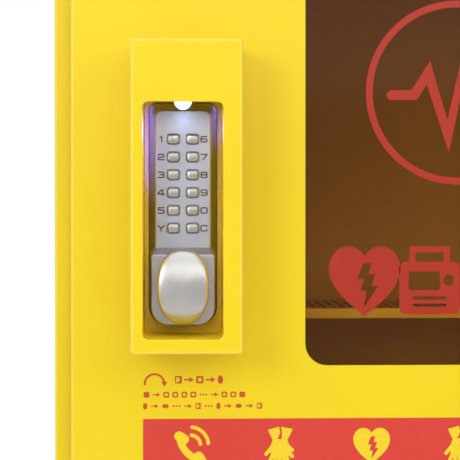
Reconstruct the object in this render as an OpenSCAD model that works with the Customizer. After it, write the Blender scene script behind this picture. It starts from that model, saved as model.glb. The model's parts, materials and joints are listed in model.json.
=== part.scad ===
// Wall cabinet for a public-access defibrillator, with a push-button code lock under a hood on its door.
// Millimetres. The wall is the plane y = 0, the front faces -Y and +Z is up.
// The origin is the centre of the four wall fixing holes.

/* [Cabinet] */
// Overall width of the body
cabinet_w = 484; // [474:5:544]
// Overall height of the body
cabinet_h = 524; // [514:5:584]
// Depth of the body from the wall to its front flange
body_depth = 180; // [175:5:240]
// Thickness of the folded steel sheet
sheet = 2; // [1.5:0.5:2.5]
// Width of the flange around the access opening
flange_w = 36; // [35:1:38]
// Width between the wall fixing holes
fixing_w = 340; // [300:10:400]
// Height between the wall fixing holes
fixing_h = 400; // [380:10:440]
// Diameter of the wall fixing holes
fixing_d = 9; // [7:0.5:11]

/* [Door] */
// Strip of body flange that shows around the door
reveal = 14; // [12:0.5:15]
// Thickness of the folded door
door_t = 20; // [18:1:24]
// Gap between the body flange and the door
door_gap = 4; // [3.5:0.5:5]
// Width of the window cut-out
window_w = 230; // [200:5:235]
// Height of the window cut-out
window_h = 309; // [280:1:320]
// Corner radius of the window cut-out
window_r = 16.5; // [10:0.5:20]

/* [Lock] */
// Distance of the lock's centre line from the cabinet's left side
lock_inset = 98; // [92:1:102]
// Width of the lock's base
lock_w = 50; // [48:0.5:52]
// Height of the lock's base
lock_h = 165; // [160:1:168]
// Pitch of the rows of keys
key_pitch = 13.1; // [12.5:0.1:13.4]
// Travel of a pressed key
key_travel = 2; // [1:0.25:2.25]

/* [Hood] */
// Width of the hood around the lock
hood_w = 80; // [78:1:90]
// Height of the hood
hood_h = 224; // [220:1:235]
// Depth of the hood in front of the door
hood_d = 60; // [56:1:70]

/* [Shelf] */
// Height of the shelf above the cabinet's floor
shelf_rise = 183; // [172:1:202]
// Depth of the shelf from front to back
shelf_d = 121; // [100:1:125]
// Pitch of the ventilation slots
slot_pitch = 8; // [8:1:12]

/* [Hidden] */
$fn = 48;
gap = 0.05;   // running clearance between a shaft and its bore
cut = 1;      // how far a cutter runs past the face it cuts

// Colours
paint = "#f2cf2b";
tint = "#5b3f26";
satin = "#b9b9b4";
zinc = "#c3c6c9";
black_rubber = "#26241f";
plastic = "#2f3033";

// Planes along Y, from the wall to the front
y_back = -sheet;
y_flange = -body_depth;
y_lip = y_flange - door_gap;
y_door = y_lip - door_t;
y_skin = y_door + sheet;
y_hood = y_door - hood_d;

// Body
opening_w = cabinet_w - 2 * flange_w;
opening_h = cabinet_h - 2 * flange_w;
return_d = 20;
floor_z = -cabinet_h / 2 + sheet;
pan_h = 10;
gland_at = [cabinet_w / 2 - 62, -body_depth + 40];
gland_hole_r = 10;

// Door, with a return lip behind the seal
door_w = cabinet_w - 2 * reveal;
door_h = cabinet_h - 2 * reveal;
lip_w = 24;
seal_w = 10;
seal_t = door_gap - 0.3;
window_at = [cabinet_w / 2 - 64 - window_w / 2, 0, cabinet_h / 2 - 67 - window_h / 2];
pane_lap = 12;
pane_t = 4;
seal_pad = 1.5;
y_pane = y_skin + seal_pad;
y_retainer = y_pane + pane_t;
stud_r = 2;
stud_offset = pane_lap + 6;
stud_l = 13;
nut_t = 3.2;
strip_w = 341;
strip_h = 48;

// Hinge: one knuckled strip down the right side of the door
hinge_r = 4;
hinge_pin_r = 1.5;
hinge_leaf_t = 1.5;
hinge_x = door_w / 2 + hinge_r + 0.4;
hinge_y = y_flange - hinge_r - 0.5;
hinge_h = door_h - 40;
knuckles = 9;
knuckle_h = hinge_h / knuckles;
knuckle_slack = 0.4;

// Lock, measured from its own centre
lock_x = -cabinet_w / 2 + lock_inset;
gasket_t = 1;
gasket_edge = 0.7;
y_lock = y_door - gasket_t;
keypad_d = 18;
block_d = 24;
skirt_d = 4;
face_w = 40.8;
block_w = 46.6;
case_wall = 3;
y_keypad = y_lock - keypad_d;
y_block = y_lock - block_d;
shoulder_z = [-24.3, -30];
cavity_w = 35;
cavity_z = [-20, 64];
key_hole = [9.8, 8];
key_base = [9.3, 7.5];
key_top = [8.2, 6.4];
key_rise = 2.2;
key_column = 7.05;
key_row_top = 55;
key_flange = [11.6, 9.6, 1.5];
key_stem_r = 1.6;
chamber_t = 8;
y_chamber = y_lock - chamber_t - 0.5;
chamber_bore_d = 6.5;
y_stem_end = y_chamber + chamber_bore_d - key_travel - 0.3;
spring_r = 2.4;
spring_wire = 0.35;
bolt_z = 74;
bolt_r = 2.5;
rear_t = 3;

// Knob, spindle and cam
knob_z = -52.6;
knob_size = [36.6, 54];
knob_d = 21.4;
spindle_r = 6;
bush_r = 8;
clutch_r = 14;
cam_t = 3;
y_cam = y_flange + 4;
cam_reach = 52;
cam_w = 16;
square = 8;
thread_r = 3;
strike_gap = 1;

// Hood and lamp
hood_x = lock_x + 2.5;
hood_z = 12.5;
mouth_w = 57.6;
mouth_h = 168.6;
mouth_z = -4.7;
mouth_r = 4.5;
liner_t = 1.5;
liner_top = 92;
hood_screw_at = [[-24, 108], [24, 108], [35.5, 60], [35.5, -70]];
screw_r = 2;
lamp_size = [22, 20, 14];
lamp_z = 84;
lens_r = 6.5;
lens_dome_z = 81;
grommet_at = [lock_x + 14, 104];
grommet_r = 4;
lead_r = 1.5;

// Battery box inside the door
battery_at = [lock_x - 6, -158];
battery_size = [66, 22, 58];
battery_wall = 1.5;
cell_r = 7.2;
cell_l = 50;

// Shelf
shelf_z = floor_z + shelf_rise + 0.6;
shelf_lip = 8.2;
shelf_flange = 15;
shelf_gap = 2.5;
shelf_w = cabinet_w - 2 * sheet - 0.2;
slot_w = 4;
slot_l = shelf_d - 20;
slots = floor((shelf_w - 40) / slot_pitch);

// Electrical parts on the floor and the back wall
heater_at = [-20, -90];
heater_size = [120, 76, 50];
supply_at = [124, -72];
supply_size = [104, 70, 36];
foot_w = 14;
foot_t = 2;
thermostat_at = [60, -165];
thermostat_size = [46, 34, 60];
loom_r = 2.5;
base_stud_l = 9;

// Routes of the fixed wires, along hand-set points
lamp_route = [
    [lock_x, y_hood + 24, 91], [lock_x, y_hood + 30, 92], [lock_x + 6, y_door - 20, 98],
    [grommet_at[0], y_door - 9, grommet_at[1]], [grommet_at[0], y_door, grommet_at[1]],
    [grommet_at[0], y_skin + 4, grommet_at[1]], [lock_x + 22, y_skin + 6, 102],
    [lock_x + 28, y_skin + 4, 94], [lock_x + 29, y_skin + 3, 80], [lock_x + 29, y_skin + 3, 20],
    [lock_x + 29, y_skin + 3, -40], [lock_x + 29, y_skin + 3, -92], [lock_x + 28, y_skin + 4, -108],
    [lock_x + 24, y_skin + 8, -116], [lock_x + 18, y_skin + 10, -122], [lock_x + 18, y_skin + 10, -129]
];
supply_route = [
    [supply_at[0] - 52, -60, floor_z + 20], [supply_at[0] - 58, -60, floor_z + 20],
    [62, -52, floor_z + 26], [59, -34, floor_z + 38], [60, -22, floor_z + 50], [60, -19, -200],
    [60, -19, -195]
];
heater_route = [
    [heater_at[0] + 60, -80, floor_z + 20], [46, -80, floor_z + 20], [56, -82, floor_z + 16],
    [66, -84, floor_z + 18], [supply_at[0] - 52, -84, floor_z + 18]
];

// Helpers

// A rectangle with round corners, about the origin
module rounded_rect(w, h, r) {
    square([w - 2 * r, h], center = true);
    square([w, h - 2 * r], center = true);
    for (sx = [-1, 1], sz = [-1, 1])
        translate([sx * (w / 2 - r), sz * (h / 2 - r)]) circle(r = r);
}

// A flat shape drawn in X and Z, given thickness from y0 back to y1
module between_y(y0, y1) {
    translate([0, y1, 0]) rotate([90, 0, 0]) linear_extrude(y1 - y0) children();
}

// A round-cornered plate from y0 back to y1
module slab(w, h, r, y0, y1) {
    between_y(y0, y1) rounded_rect(w, h, r);
}

// A block given by its low and high corners
module block(low, high) {
    translate(low) cube(high - low);
}

// A rod along Y
module rod_y(r, y0, y1) {
    translate([0, y1, 0]) rotate([90, 0, 0]) cylinder(r = r, h = y1 - y0);
}

// A rod along X
module rod_x(r, x0, x1) {
    translate([x0, 0, 0]) rotate([0, 90, 0]) cylinder(r = r, h = x1 - x0);
}

// A hexagon nut along Y, with its bore
module nut_y(flats, bore_r, y0, y1) {
    difference() {
        translate([0, y1, 0]) rotate([90, 0, 0]) cylinder(r = flats / sqrt(3), h = y1 - y0, $fn = 6);
        rod_y(bore_r, y0 - cut, y1 + cut);
    }
}

// A stud along Z from its welded end, and the nut that clamps a sheet up to z = grip
module stud_and_nut(length, grip) {
    cylinder(r = stud_r, h = length);
    translate([0, 0, grip]) difference() {
        cylinder(r = 7 / sqrt(3), h = nut_t, $fn = 6);
        translate([0, 0, -cut]) cylinder(r = stud_r + gap, h = nut_t + 2 * cut);
    }
}

function unit(v) = v / norm(v);

// Point t of the way along the curve from p1 to p2
function curve_point(p0, p1, p2, p3, t) =
    0.5 * (2 * p1 + (p2 - p0) * t + (2 * p0 - 5 * p1 + 4 * p2 - p3) * t * t
        + (3 * p1 - p0 - 3 * p2 + p3) * t * t * t);

// A smooth path through points, with n steps between each two
function smooth_path(points, n) =
    let (last = len(points) - 1)
    concat(
        [for (i = [0:last - 1], k = [0:n - 1])
            curve_point(points[max(i - 1, 0)], points[i], points[i + 1], points[min(i + 2, last)], k / n)],
        [points[last]]);

// A helix along Y
function helix_path(r, y0, y1, turns, per_turn) =
    [for (i = [0:turns * per_turn])
        let (a = 360 * i / per_turn, s = i / (turns * per_turn))
        [r * cos(a), y0 + (y1 - y0) * s, r * sin(a)]];

function path_tangent(path, i) = unit(path[min(i + 1, len(path) - 1)] - path[max(i - 1, 0)]);

// A round tube along a path. The hint is any direction that the path never runs along.
module tube(path, r, sides, hint) {
    n = len(path);
    rings = [for (i = [0:n - 1])
        let (t = path_tangent(path, i), u = unit(cross(t, hint)), v = cross(t, u))
        for (k = [0:sides - 1])
            path[i] + r * (cos(360 * k / sides) * u + sin(360 * k / sides) * v)];
    walls = [for (i = [0:n - 2], k = [0:sides - 1], half = [0, 1])
        let (a = i * sides + k, b = i * sides + (k + 1) % sides)
        half == 0 ? [a, b, b + sides] : [a, b + sides, a + sides]];
    ends = [[for (k = [sides - 1:-1:0]) k], [for (k = [0:sides - 1]) (n - 1) * sides + k]];
    polyhedron(points = rings, faces = concat(walls, ends), convexity = 6);
}

// Body

// The four walls in one, with round folds
module walls() {
    difference() {
        slab(cabinet_w, cabinet_h, 4, y_flange + sheet, y_back);
        slab(cabinet_w - 2 * sheet, cabinet_h - 2 * sheet, 2, y_flange, cut);
    }
}

// The space below the joint between the floor pan and the walls
module below_joint() {
    block([-cabinet_w, -2 * body_depth, -cabinet_h], [cabinet_w, body_depth, floor_z + pan_h]);
}

// Top and side walls, folded from one sheet
module cabinet_wrap() {
    color(paint) difference() {
        walls();
        below_joint();
    }
}

// Floor pan with turned-up ends that are welded to the side walls
module cabinet_floor() {
    color(paint) difference() {
        intersection() {
            walls();
            below_joint();
        }
        translate([gland_at[0], gland_at[1], floor_z - sheet - cut])
            cylinder(r = gland_hole_r, h = sheet + 2 * cut);
    }
}

module cabinet_back() {
    color(paint) difference() {
        slab(cabinet_w, cabinet_h, 4, y_back, 0);
        for (sx = [-1, 1], sz = [-1, 1])
            translate([sx * fixing_w / 2, 0, sz * fixing_h / 2]) rod_y(fixing_d / 2, y_back - cut, cut);
    }
}

// Front flange, whose inner edge is folded back to stiffen the opening
module cabinet_frame() {
    color(paint) difference() {
        union() {
            slab(cabinet_w, cabinet_h, 4, y_flange, y_flange + sheet);
            slab(opening_w + 2 * sheet, opening_h + 2 * sheet, 5, y_flange, y_flange + return_d);
        }
        slab(opening_w, opening_h, 3, y_flange - cut, y_flange + return_d + cut);
        for (z = strike_screw_z()) translate([0, strike_screw_y(), z])
            rod_x(screw_r, -opening_w / 2 - sheet - cut, -opening_w / 2 + cut);
    }
}

// Studs welded to the floor and the side walls with their nuts, and the strike plate's screws
module cabinet_fixings() {
    color(zinc) {
        for (p = base_studs()) translate(p) stud_and_nut(base_stud_l, foot_t);
        for (p = shelf_stud_points(), s = [0, 1]) mirror([s, 0, 0]) translate(p)
            rotate([0, 90, 0]) stud_and_nut(base_stud_l, sheet + 0.1);
        for (z = strike_screw_z()) translate([-opening_w / 2, strike_screw_y(), z]) {
            rod_x(screw_r, -sheet, 2);
            rod_x(3.6, 2, 4.2);
        }
    }
}

module door_seal() {
    outer_w = opening_w + 2 * (seal_w + 1);
    outer_h = opening_h + 2 * (seal_w + 1);
    color(black_rubber) difference() {
        slab(outer_w, outer_h, 10, y_flange - seal_t, y_flange);
        slab(opening_w + 2, opening_h + 2, 4, y_flange - seal_t - cut, y_flange + cut);
    }
}

function strike_screw_z() = [knob_z - 14, knob_z + 14];
function strike_screw_y() = y_flange + 13;

// The lip ends a little short of the cam, so that the door also swings with the cam across
module strike_plate() {
    x0 = -opening_w / 2;
    lip_x = lock_x - cam_reach - strike_gap;
    color(satin) difference() {
        union() {
            block([x0, y_flange, knob_z - 22], [x0 + 2, y_flange + return_d - 2, knob_z + 22]);
            block([x0, y_flange, knob_z - 22], [lip_x, y_cam - 0.6, knob_z + 22]);
        }
        for (z = strike_screw_z()) translate([0, strike_screw_y(), z])
            rod_x(screw_r, x0 - cut, x0 + 2 + cut);
    }
}

// One leaf's knuckles: every second station, from station 0 or 1
module hinge_knuckles(first) {
    for (i = [first:2:knuckles - 1])
        translate([hinge_x, hinge_y, -hinge_h / 2 + i * knuckle_h + knuckle_slack / 2])
            cylinder(r = hinge_r, h = knuckle_h - knuckle_slack);
}

// Room for the other leaf's knuckles
module knuckle_gaps(first) {
    for (i = [first:2:knuckles - 1])
        translate([hinge_x, hinge_y, -hinge_h / 2 + i * knuckle_h - knuckle_slack / 2])
            cylinder(r = hinge_r + 0.4, h = knuckle_h + knuckle_slack);
}

module hinge_bore() {
    translate([hinge_x, hinge_y, -hinge_h / 2 - cut]) cylinder(r = hinge_pin_r + gap, h = hinge_h + 2 * cut);
}

module hinge_frame_leaf() {
    color(satin) difference() {
        union() {
            block([hinge_x - hinge_r - 10, y_flange - hinge_leaf_t, -hinge_h / 2],
                [hinge_x, y_flange, hinge_h / 2]);
            hinge_knuckles(0);
        }
        knuckle_gaps(1);
        hinge_bore();
    }
}

module hinge_door_leaf() {
    color(satin) difference() {
        union() {
            block([door_w / 2, y_door + 3, -hinge_h / 2],
                [door_w / 2 + hinge_leaf_t, hinge_y, hinge_h / 2]);
            hinge_knuckles(1);
        }
        knuckle_gaps(0);
        hinge_bore();
    }
}

module hinge_pin() {
    head = 1.2;
    color(zinc) translate([hinge_x, hinge_y, -hinge_h / 2 - head]) {
        cylinder(r = hinge_pin_r, h = hinge_h + 2 * head);
        cylinder(r = 2.8, h = head);
        translate([0, 0, hinge_h + head]) cylinder(r = 2.8, h = head);
    }
}

// Shelf with slots that run from front to back. Its side flanges drop over the studs on the walls.

function shelf_stud_points() =
    [for (y = [-shelf_d + 25, -30]) [-cabinet_w / 2 + sheet, y, shelf_z - sheet - 7]];

module shelf() {
    y0 = -shelf_d - shelf_gap;
    x1 = shelf_w / 2;
    color(paint) difference() {
        union() {
            block([-x1, y0, shelf_z - sheet], [x1, -shelf_gap, shelf_z]);
            block([-x1, y0, shelf_z - shelf_lip], [x1, y0 + sheet, shelf_z]);
            for (s = [0, 1]) mirror([s, 0, 0])
                block([x1 - sheet, y0, shelf_z - shelf_flange], [x1, -shelf_gap, shelf_z]);
        }
        for (i = [0:slots - 1])
            translate([(i - (slots - 1) / 2) * slot_pitch - slot_w / 2, y0 + 10, shelf_z - sheet - cut])
                cube([slot_w, slot_l, sheet + 2 * cut]);
        for (p = shelf_stud_points()) translate([0, p[1], p[2]]) {
            rod_x(stud_r + 0.2, -x1 - cut, x1 + cut);
            block([-x1 - cut, -stud_r - 0.2, -shelf_flange], [x1 + cut, stud_r + 0.2, 0]);
        }
    }
}

// Heater, power supply and thermostat

function foot_points(at, size) =
    [for (sx = [-1, 1], sy = [-1, 1])
        [at[0] + sx * (size[0] / 2 + foot_w / 2), at[1] + sy * (size[1] / 2 - 10), floor_z]];
function base_studs() = concat(foot_points(heater_at, heater_size), foot_points(supply_at, supply_size));

// Feet that take the floor studs, on both ends of a box
module feet(at, size) {
    difference() {
        block([at[0] - size[0] / 2 - foot_w, at[1] - size[1] / 2, floor_z],
            [at[0] + size[0] / 2 + foot_w, at[1] + size[1] / 2, floor_z + foot_t]);
        for (p = foot_points(at, size)) translate([0, 0, -cut]) translate(p)
            cylinder(r = stud_r + 0.2, h = foot_t + 2 * cut);
    }
}

module heater_case() {
    low = [heater_at[0] - heater_size[0] / 2, heater_at[1] - heater_size[1] / 2, floor_z];
    high = low + heater_size;
    wall = [1.5, 1.5, 0];
    color("#8b8d8e") {
        feet(heater_at, heater_size);
        difference() {
            block(low + [0, 0, foot_t], high);
            block(low + wall + [0, 0, foot_t - cut], high - wall - [0, 0, 1.5]);
            for (i = [0:8]) translate([low[0] + 14 + i * 11.5 - 2.5, low[1] + 10, high[2] - 1.5 - cut])
                cube([5, heater_size[1] - 20, 1.5 + 2 * cut]);
            for (i = [0:8]) translate([low[0] + 14 + i * 11.5 - 2.5, low[1] - cut, low[2] + 14])
                cube([5, heater_size[1] + 2 * cut, 22]);
        }
    }
}

module heater_fins() {
    low = [heater_at[0] - 46, heater_at[1] - 27, floor_z + foot_t];
    color("#d0d2d4") {
        block(low, low + [92, 54, 8]);
        for (i = [0:10]) block(low + [i * 9, 0, 8], low + [i * 9 + 2, 54, 34]);
    }
}

module power_supply() {
    low = [supply_at[0] - supply_size[0] / 2, supply_at[1] - supply_size[1] / 2, floor_z + foot_t];
    high = low + supply_size;
    color("#a7abad") {
        feet(supply_at, supply_size);
        difference() {
            block(low, high);
            for (i = [0:7]) translate([low[0] + 16 + i * 9, low[1] - cut, low[2] + 10])
                cube([3, 3, 16]);
        }
    }
}

module thermostat() {
    w = thermostat_size;
    at = [thermostat_at[0], y_back, thermostat_at[1]];
    color("#e4e4de") {
        block(at - [w[0] / 2, w[1], w[2] / 2], at + [w[0] / 2, 0, w[2] / 2]);
        translate([at[0], 0, at[2] + 8]) rod_y(11, y_back - w[1] - 6, y_back - w[1]);
    }
}

module wiring_loom() {
    color(plastic) {
        tube(smooth_path(supply_route, 3), loom_r, 8, [1, 0.3, 0]);
        tube(smooth_path(heater_route, 3), loom_r, 8, [0, 0.2, 1]);
    }
}

module cable_gland() {
    bottom = floor_z - sheet;
    color(plastic) translate([gland_at[0], gland_at[1], 0]) difference() {
        union() {
            translate([0, 0, bottom]) cylinder(r = gland_hole_r - 0.1, h = sheet + 8);
            translate([0, 0, bottom - 6]) cylinder(r = 14, h = 6, $fn = 6);
            translate([0, 0, bottom - 18]) cylinder(r = 11, h = 12);
            translate([0, 0, bottom - 22]) cylinder(r = 8.5, h = 4);
        }
        translate([0, 0, bottom - 22 - cut]) cylinder(r = 4.5, h = sheet + 30 + 2 * cut);
    }
}

module gland_locknut() {
    color(plastic) translate([gland_at[0], gland_at[1], floor_z]) difference() {
        cylinder(r = 14, h = 4.5, $fn = 6);
        translate([0, 0, -cut]) cylinder(r = gland_hole_r, h = 4.5 + 2 * cut);
    }
}

// Door

function stud_points() =
    let (sx = window_w / 2 + stud_offset, sz = window_h / 2 + stud_offset)
    concat(
        [for (s = [-1, 1], z = [-1, 0, 1]) [s * sx, z * window_h * 0.39]],
        [for (s = [-1, 1], x = [-1, 1]) [x * window_w * 0.3, s * sz]]);

module at_studs() {
    for (p = stud_points()) translate(window_at + [p[0], 0, p[1]]) children();
}

module at_hood_screws() {
    for (p = hood_screw_at) translate([hood_x + p[0], 0, p[1]]) children();
}

module at_lock() {
    translate([lock_x, 0, 0]) children();
}

module door_panel() {
    color(paint) difference() {
        slab(door_w, door_h, 3, y_door, y_lip);
        slab(door_w - 2 * sheet, door_h - 2 * sheet, 2, y_skin, y_lip + cut);
        translate(window_at) slab(window_w, window_h, window_r, y_door - cut, y_skin + cut);
        at_lock() {
            translate([0, 0, knob_z]) rod_y(bush_r, y_door - cut, y_skin + cut);
            for (s = [-1, 1]) translate([0, 0, s * bolt_z]) rod_y(bolt_r + 0.5, y_door - cut, y_skin + cut);
        }
        at_hood_screws() rod_y(screw_r + 0.2, y_door - cut, y_skin + cut);
        translate([grommet_at[0], 0, grommet_at[1]]) rod_y(grommet_r, y_door - cut, y_skin + cut);
    }
}

// Flat frame welded inside the door's folded edge, which the seal presses on
module door_frame() {
    color(paint) difference() {
        slab(door_w - 2 * sheet, door_h - 2 * sheet, 2, y_lip - sheet, y_lip);
        slab(door_w - 2 * lip_w, door_h - 2 * lip_w, 2, y_lip - sheet - cut, y_lip + cut);
    }
}

module pictogram_strip() {
    film = 0.2;
    color("#dc4a40")
        translate([lock_x - 30 + strip_w / 2, 0, -153.8 - strip_h / 2])
            slab(strip_w, strip_h, 0.5, y_door - film, y_door);
}

module window_seal() {
    color(black_rubber) translate(window_at) difference() {
        slab(window_w + 2 * pane_lap - 4, window_h + 2 * pane_lap - 4, window_r + 8, y_skin, y_pane);
        slab(window_w + 2, window_h + 2, window_r + 1, y_skin - cut, y_pane + cut);
    }
}

module window_pane() {
    color(tint, 0.6) translate(window_at)
        slab(window_w + 2 * pane_lap, window_h + 2 * pane_lap, window_r + 4, y_pane, y_retainer);
}

module window_retainer() {
    rim = stud_offset + 5;
    color("#c9a91f") difference() {
        translate(window_at) difference() {
            slab(window_w + 2 * rim, window_h + 2 * rim, 8, y_retainer, y_retainer + sheet);
            slab(window_w + 8, window_h + 8, window_r + 2, y_retainer - cut, y_retainer + sheet + cut);
        }
        at_studs() rod_y(stud_r + 0.2, y_retainer - cut, y_retainer + sheet + cut);
    }
}

// Studs welded to the inside of the door skin, with the nuts that hold the retainer
module window_fixings() {
    color(zinc) at_studs() translate([0, y_skin, 0]) rotate([-90, 0, 0])
        stud_and_nut(stud_l, y_retainer + sheet - y_skin);
}

// Hood, liner and keypad lamp

module lock_hood() {
    color(paint) difference() {
        translate([hood_x, 0, hood_z]) slab(hood_w, hood_h, 2, y_hood, y_door);
        translate([hood_x, 0, hood_z])
            slab(hood_w - 2 * sheet, hood_h - 2 * sheet, 1, y_hood + sheet, y_door - sheet);
        block([lock_x - mouth_w / 2 - 2.2, y_door - sheet - cut, hood_z - hood_h / 2 + 7.5],
            [lock_x + mouth_w / 2 + 2.2, y_door + cut, liner_top]);
        translate([lock_x, 0, mouth_z]) slab(mouth_w, mouth_h, mouth_r, y_hood - cut, y_hood + sheet + cut);
        at_hood_screws() rod_y(screw_r, y_door - sheet - cut, y_door + cut);
        translate([grommet_at[0], 0, grommet_at[1]]) rod_y(grommet_r, y_door - sheet - cut, y_door + cut);
    }
}

// Three walls that run from the hood's mouth back to the door; the lamp shines in over the open top
module hood_liner() {
    low = mouth_z - mouth_h / 2;
    tall = 2 * mouth_h;
    color(paint) intersection() {
        translate([lock_x, 0, low + tall / 2]) difference() {
            slab(mouth_w + 2 * liner_t, tall + 2 * liner_t, mouth_r + liner_t, y_hood + sheet, y_door);
            slab(mouth_w, tall, mouth_r, y_hood, y_door + cut);
        }
        block([lock_x - mouth_w, y_hood, low - sheet], [lock_x + mouth_w, y_door + cut, liner_top]);
    }
}

module hood_screws() {
    color(zinc) at_hood_screws() {
        rod_y(screw_r, y_door - sheet - 2, y_skin);
        rod_y(3.6, y_skin, y_skin + 2.4);
    }
}

module lamp_housing() {
    y0 = y_hood + sheet;
    color(plastic) difference() {
        block([lock_x - lamp_size[0] / 2, y0, lamp_z],
            [lock_x + lamp_size[0] / 2, y0 + lamp_size[1] + 2, lamp_z + lamp_size[2]]);
        translate([lock_x, y0 + lamp_size[1] / 2, lamp_z - cut]) cylinder(r = 5, h = 6 + cut);
    }
}

module lamp_lens() {
    rise = lamp_z - lens_dome_z;
    color("#eaf4ff") translate([lock_x, y_hood + sheet + lamp_size[1] / 2, lens_dome_z]) {
        intersection() {
            sphere(r = lens_r);
            translate([0, 0, -lens_r]) cylinder(r = lens_r + cut, h = lens_r + rise / 2);
        }
        cylinder(r = lens_r, h = rise);
        cylinder(r = 4.8, h = rise + 5);
    }
}

module lamp_cable() {
    color(plastic) tube(smooth_path(lamp_route, 4), lead_r, 8, [1, 0.35, 0.2]);
}

module cable_grommet() {
    color(black_rubber) translate([grommet_at[0], 0, grommet_at[1]]) difference() {
        union() {
            rod_y(grommet_r - 0.05, y_door - sheet, y_skin);
            rod_y(6, y_door - sheet - 1.6, y_door - sheet);
            rod_y(6, y_skin, y_skin + 1.6);
        }
        rod_y(lead_r + 0.6, y_door - 6, y_skin + 6);
    }
}

// Battery box for the lamp, fixed to the inside of the door skin

module battery_box() {
    w = battery_size;
    at = [battery_at[0], y_skin, battery_at[1]];
    low = at - [w[0] / 2, 0, w[2] / 2];
    high = at + [w[0] / 2, w[1], w[2] / 2];
    inset = [battery_wall, 0, battery_wall];
    color(plastic) difference() {
        block(low, high);
        block(low + inset + [0, battery_wall, 0], high - inset + [0, cut, 0]);
        translate([lock_x + 18, y_skin + 10, high[2] - battery_wall - cut])
            cylinder(r = lead_r + 0.3, h = battery_wall + 2 * cut);
    }
}

module battery_cover() {
    w = battery_size;
    at = [battery_at[0], y_skin + w[1], battery_at[1]];
    lap = battery_wall + 0.2;
    color("#3a3b3f") {
        block(at - [w[0] / 2, 0, w[2] / 2], at + [w[0] / 2, 2, w[2] / 2]);
        block(at - [w[0] / 2 - lap, 1.5, w[2] / 2 - lap], at + [w[0] / 2 - lap, 0, w[2] / 2 - lap]);
    }
}

module battery_cells() {
    color("#3d6f3c") for (i = [-1, 0, 1])
        translate([battery_at[0] + i * (2 * cell_r + 1), y_skin + battery_wall + cell_r + 0.5,
            battery_at[1] - cell_l / 2]) {
            cylinder(r = cell_r, h = cell_l - 1);
            cylinder(r = 2.6, h = cell_l);
        }
}

// Lock

module lock_gasket() {
    color(black_rubber) at_lock() difference() {
        slab(lock_w + 2 * gasket_edge, lock_h + 2 * gasket_edge, 8, y_lock, y_door);
        slab(cavity_w, lock_h - 40, 4, y_lock - cut, y_door + cut);
        for (s = [-1, 1]) translate([0, 0, s * bolt_z]) rod_y(bolt_r + 0.3, y_lock - cut, y_door + cut);
    }
}

// Side to side section of the case: a straight skirt, then a slope up to the face
module case_section(face_half, depth) {
    polygon([
        [-lock_w / 2, 0], [lock_w / 2, 0], [lock_w / 2, -skirt_d], [face_half, -depth],
        [-face_half, -depth], [-lock_w / 2, -skirt_d]
    ]);
}

module lock_case() {
    top = lock_h / 2;
    color(satin) at_lock() difference() {
        union() {
            intersection() {
                translate([0, y_lock, -top]) linear_extrude(2 * top) case_section(face_w / 2, keypad_d);
                translate([-lock_w, 0, 0]) rotate([90, 0, 90]) linear_extrude(2 * lock_w)
                    polygon([
                        [y_lock, -top], [y_lock, top], [y_lock - skirt_d, top], [y_keypad, top - 6],
                        [y_keypad, -top]
                    ]);
                slab(lock_w, lock_h, 7, y_keypad - cut, y_lock + cut);
            }
            intersection() {
                translate([0, y_lock, -top]) linear_extrude(top) case_section(block_w / 2, block_d);
                translate([-lock_w, 0, 0]) rotate([90, 0, 90]) linear_extrude(2 * lock_w)
                    polygon([
                        [y_lock, -top], [y_lock, shoulder_z[0]], [y_keypad, shoulder_z[0]],
                        [y_block, shoulder_z[1]], [y_block, -top + 1.5], [y_lock - skirt_d, -top]
                    ]);
                translate([0, 0, lock_h / 4]) slab(lock_w, lock_h * 1.5, 14, y_block - cut, y_lock + cut);
            }
        }
        translate([0, 0, -top]) difference() {
            block([-lock_w, y_block - cut, -cut], [lock_w, y_lock + cut, 14]);
            translate([0, 0, lock_h / 2]) slab(lock_w, lock_h, 14, y_block - 2 * cut, y_lock + 2 * cut);
        }
        block([-cavity_w / 2, y_keypad + case_wall, cavity_z[0]], [cavity_w / 2, y_lock + cut, cavity_z[1]]);
        for (p = key_points()) translate([p[0], 0, p[1]])
            slab(key_hole[0], key_hole[1], 2, y_keypad - cut, y_keypad + case_wall + cut);
        translate([0, 0, knob_z]) {
            rod_y(bush_r, y_block - cut, y_lock + cut);
            rod_y(clutch_r + 2, y_block + 7, y_lock + cut);
        }
        for (s = [-1, 1]) translate([0, 0, s * bolt_z]) rod_y(bolt_r + gap, y_lock - 10, y_lock + cut);
    }
}

// Keys stand in two columns of six
function key_points() =
    [for (column = [-1, 1], row = [0:5]) [column * key_column, key_row_top - row * key_pitch]];

module key(index) {
    p = key_points()[index];
    y_flange_front = y_keypad + case_wall + 0.2;
    color("#cfcfc9") at_lock() translate([p[0], 0, p[1]]) {
        slab(key_top[0], key_top[1], 1.8, y_keypad - key_rise, y_keypad);
        slab(key_base[0], key_base[1], 1.8, y_keypad - 0.5, y_flange_front);
        slab(key_flange[0], key_flange[1], 1, y_flange_front, y_flange_front + key_flange[2]);
        rod_y(key_stem_r, y_flange_front, y_stem_end);
    }
}

module code_chamber() {
    color("#c9ad5a") at_lock() difference() {
        block([-cavity_w / 2 + 0.4, y_chamber, cavity_z[0] + 0.4],
            [cavity_w / 2 - 0.4, y_chamber + chamber_t, cavity_z[1] - 0.4]);
        for (p = key_points()) translate([p[0], 0, p[1]])
            rod_y(key_stem_r + gap, y_chamber - cut, y_chamber + chamber_bore_d);
    }
}

// Twelve return springs, one around each key's stem
module key_springs() {
    y0 = y_keypad + case_wall + 0.2 + key_flange[2] + spring_wire;
    y1 = y_chamber - spring_wire;
    color(zinc) at_lock() for (p = key_points()) translate([p[0], 0, p[1]])
        tube(helix_path(spring_r, y0, y1, 3, 8), spring_wire, 4, [0, 1, 0]);
}

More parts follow.
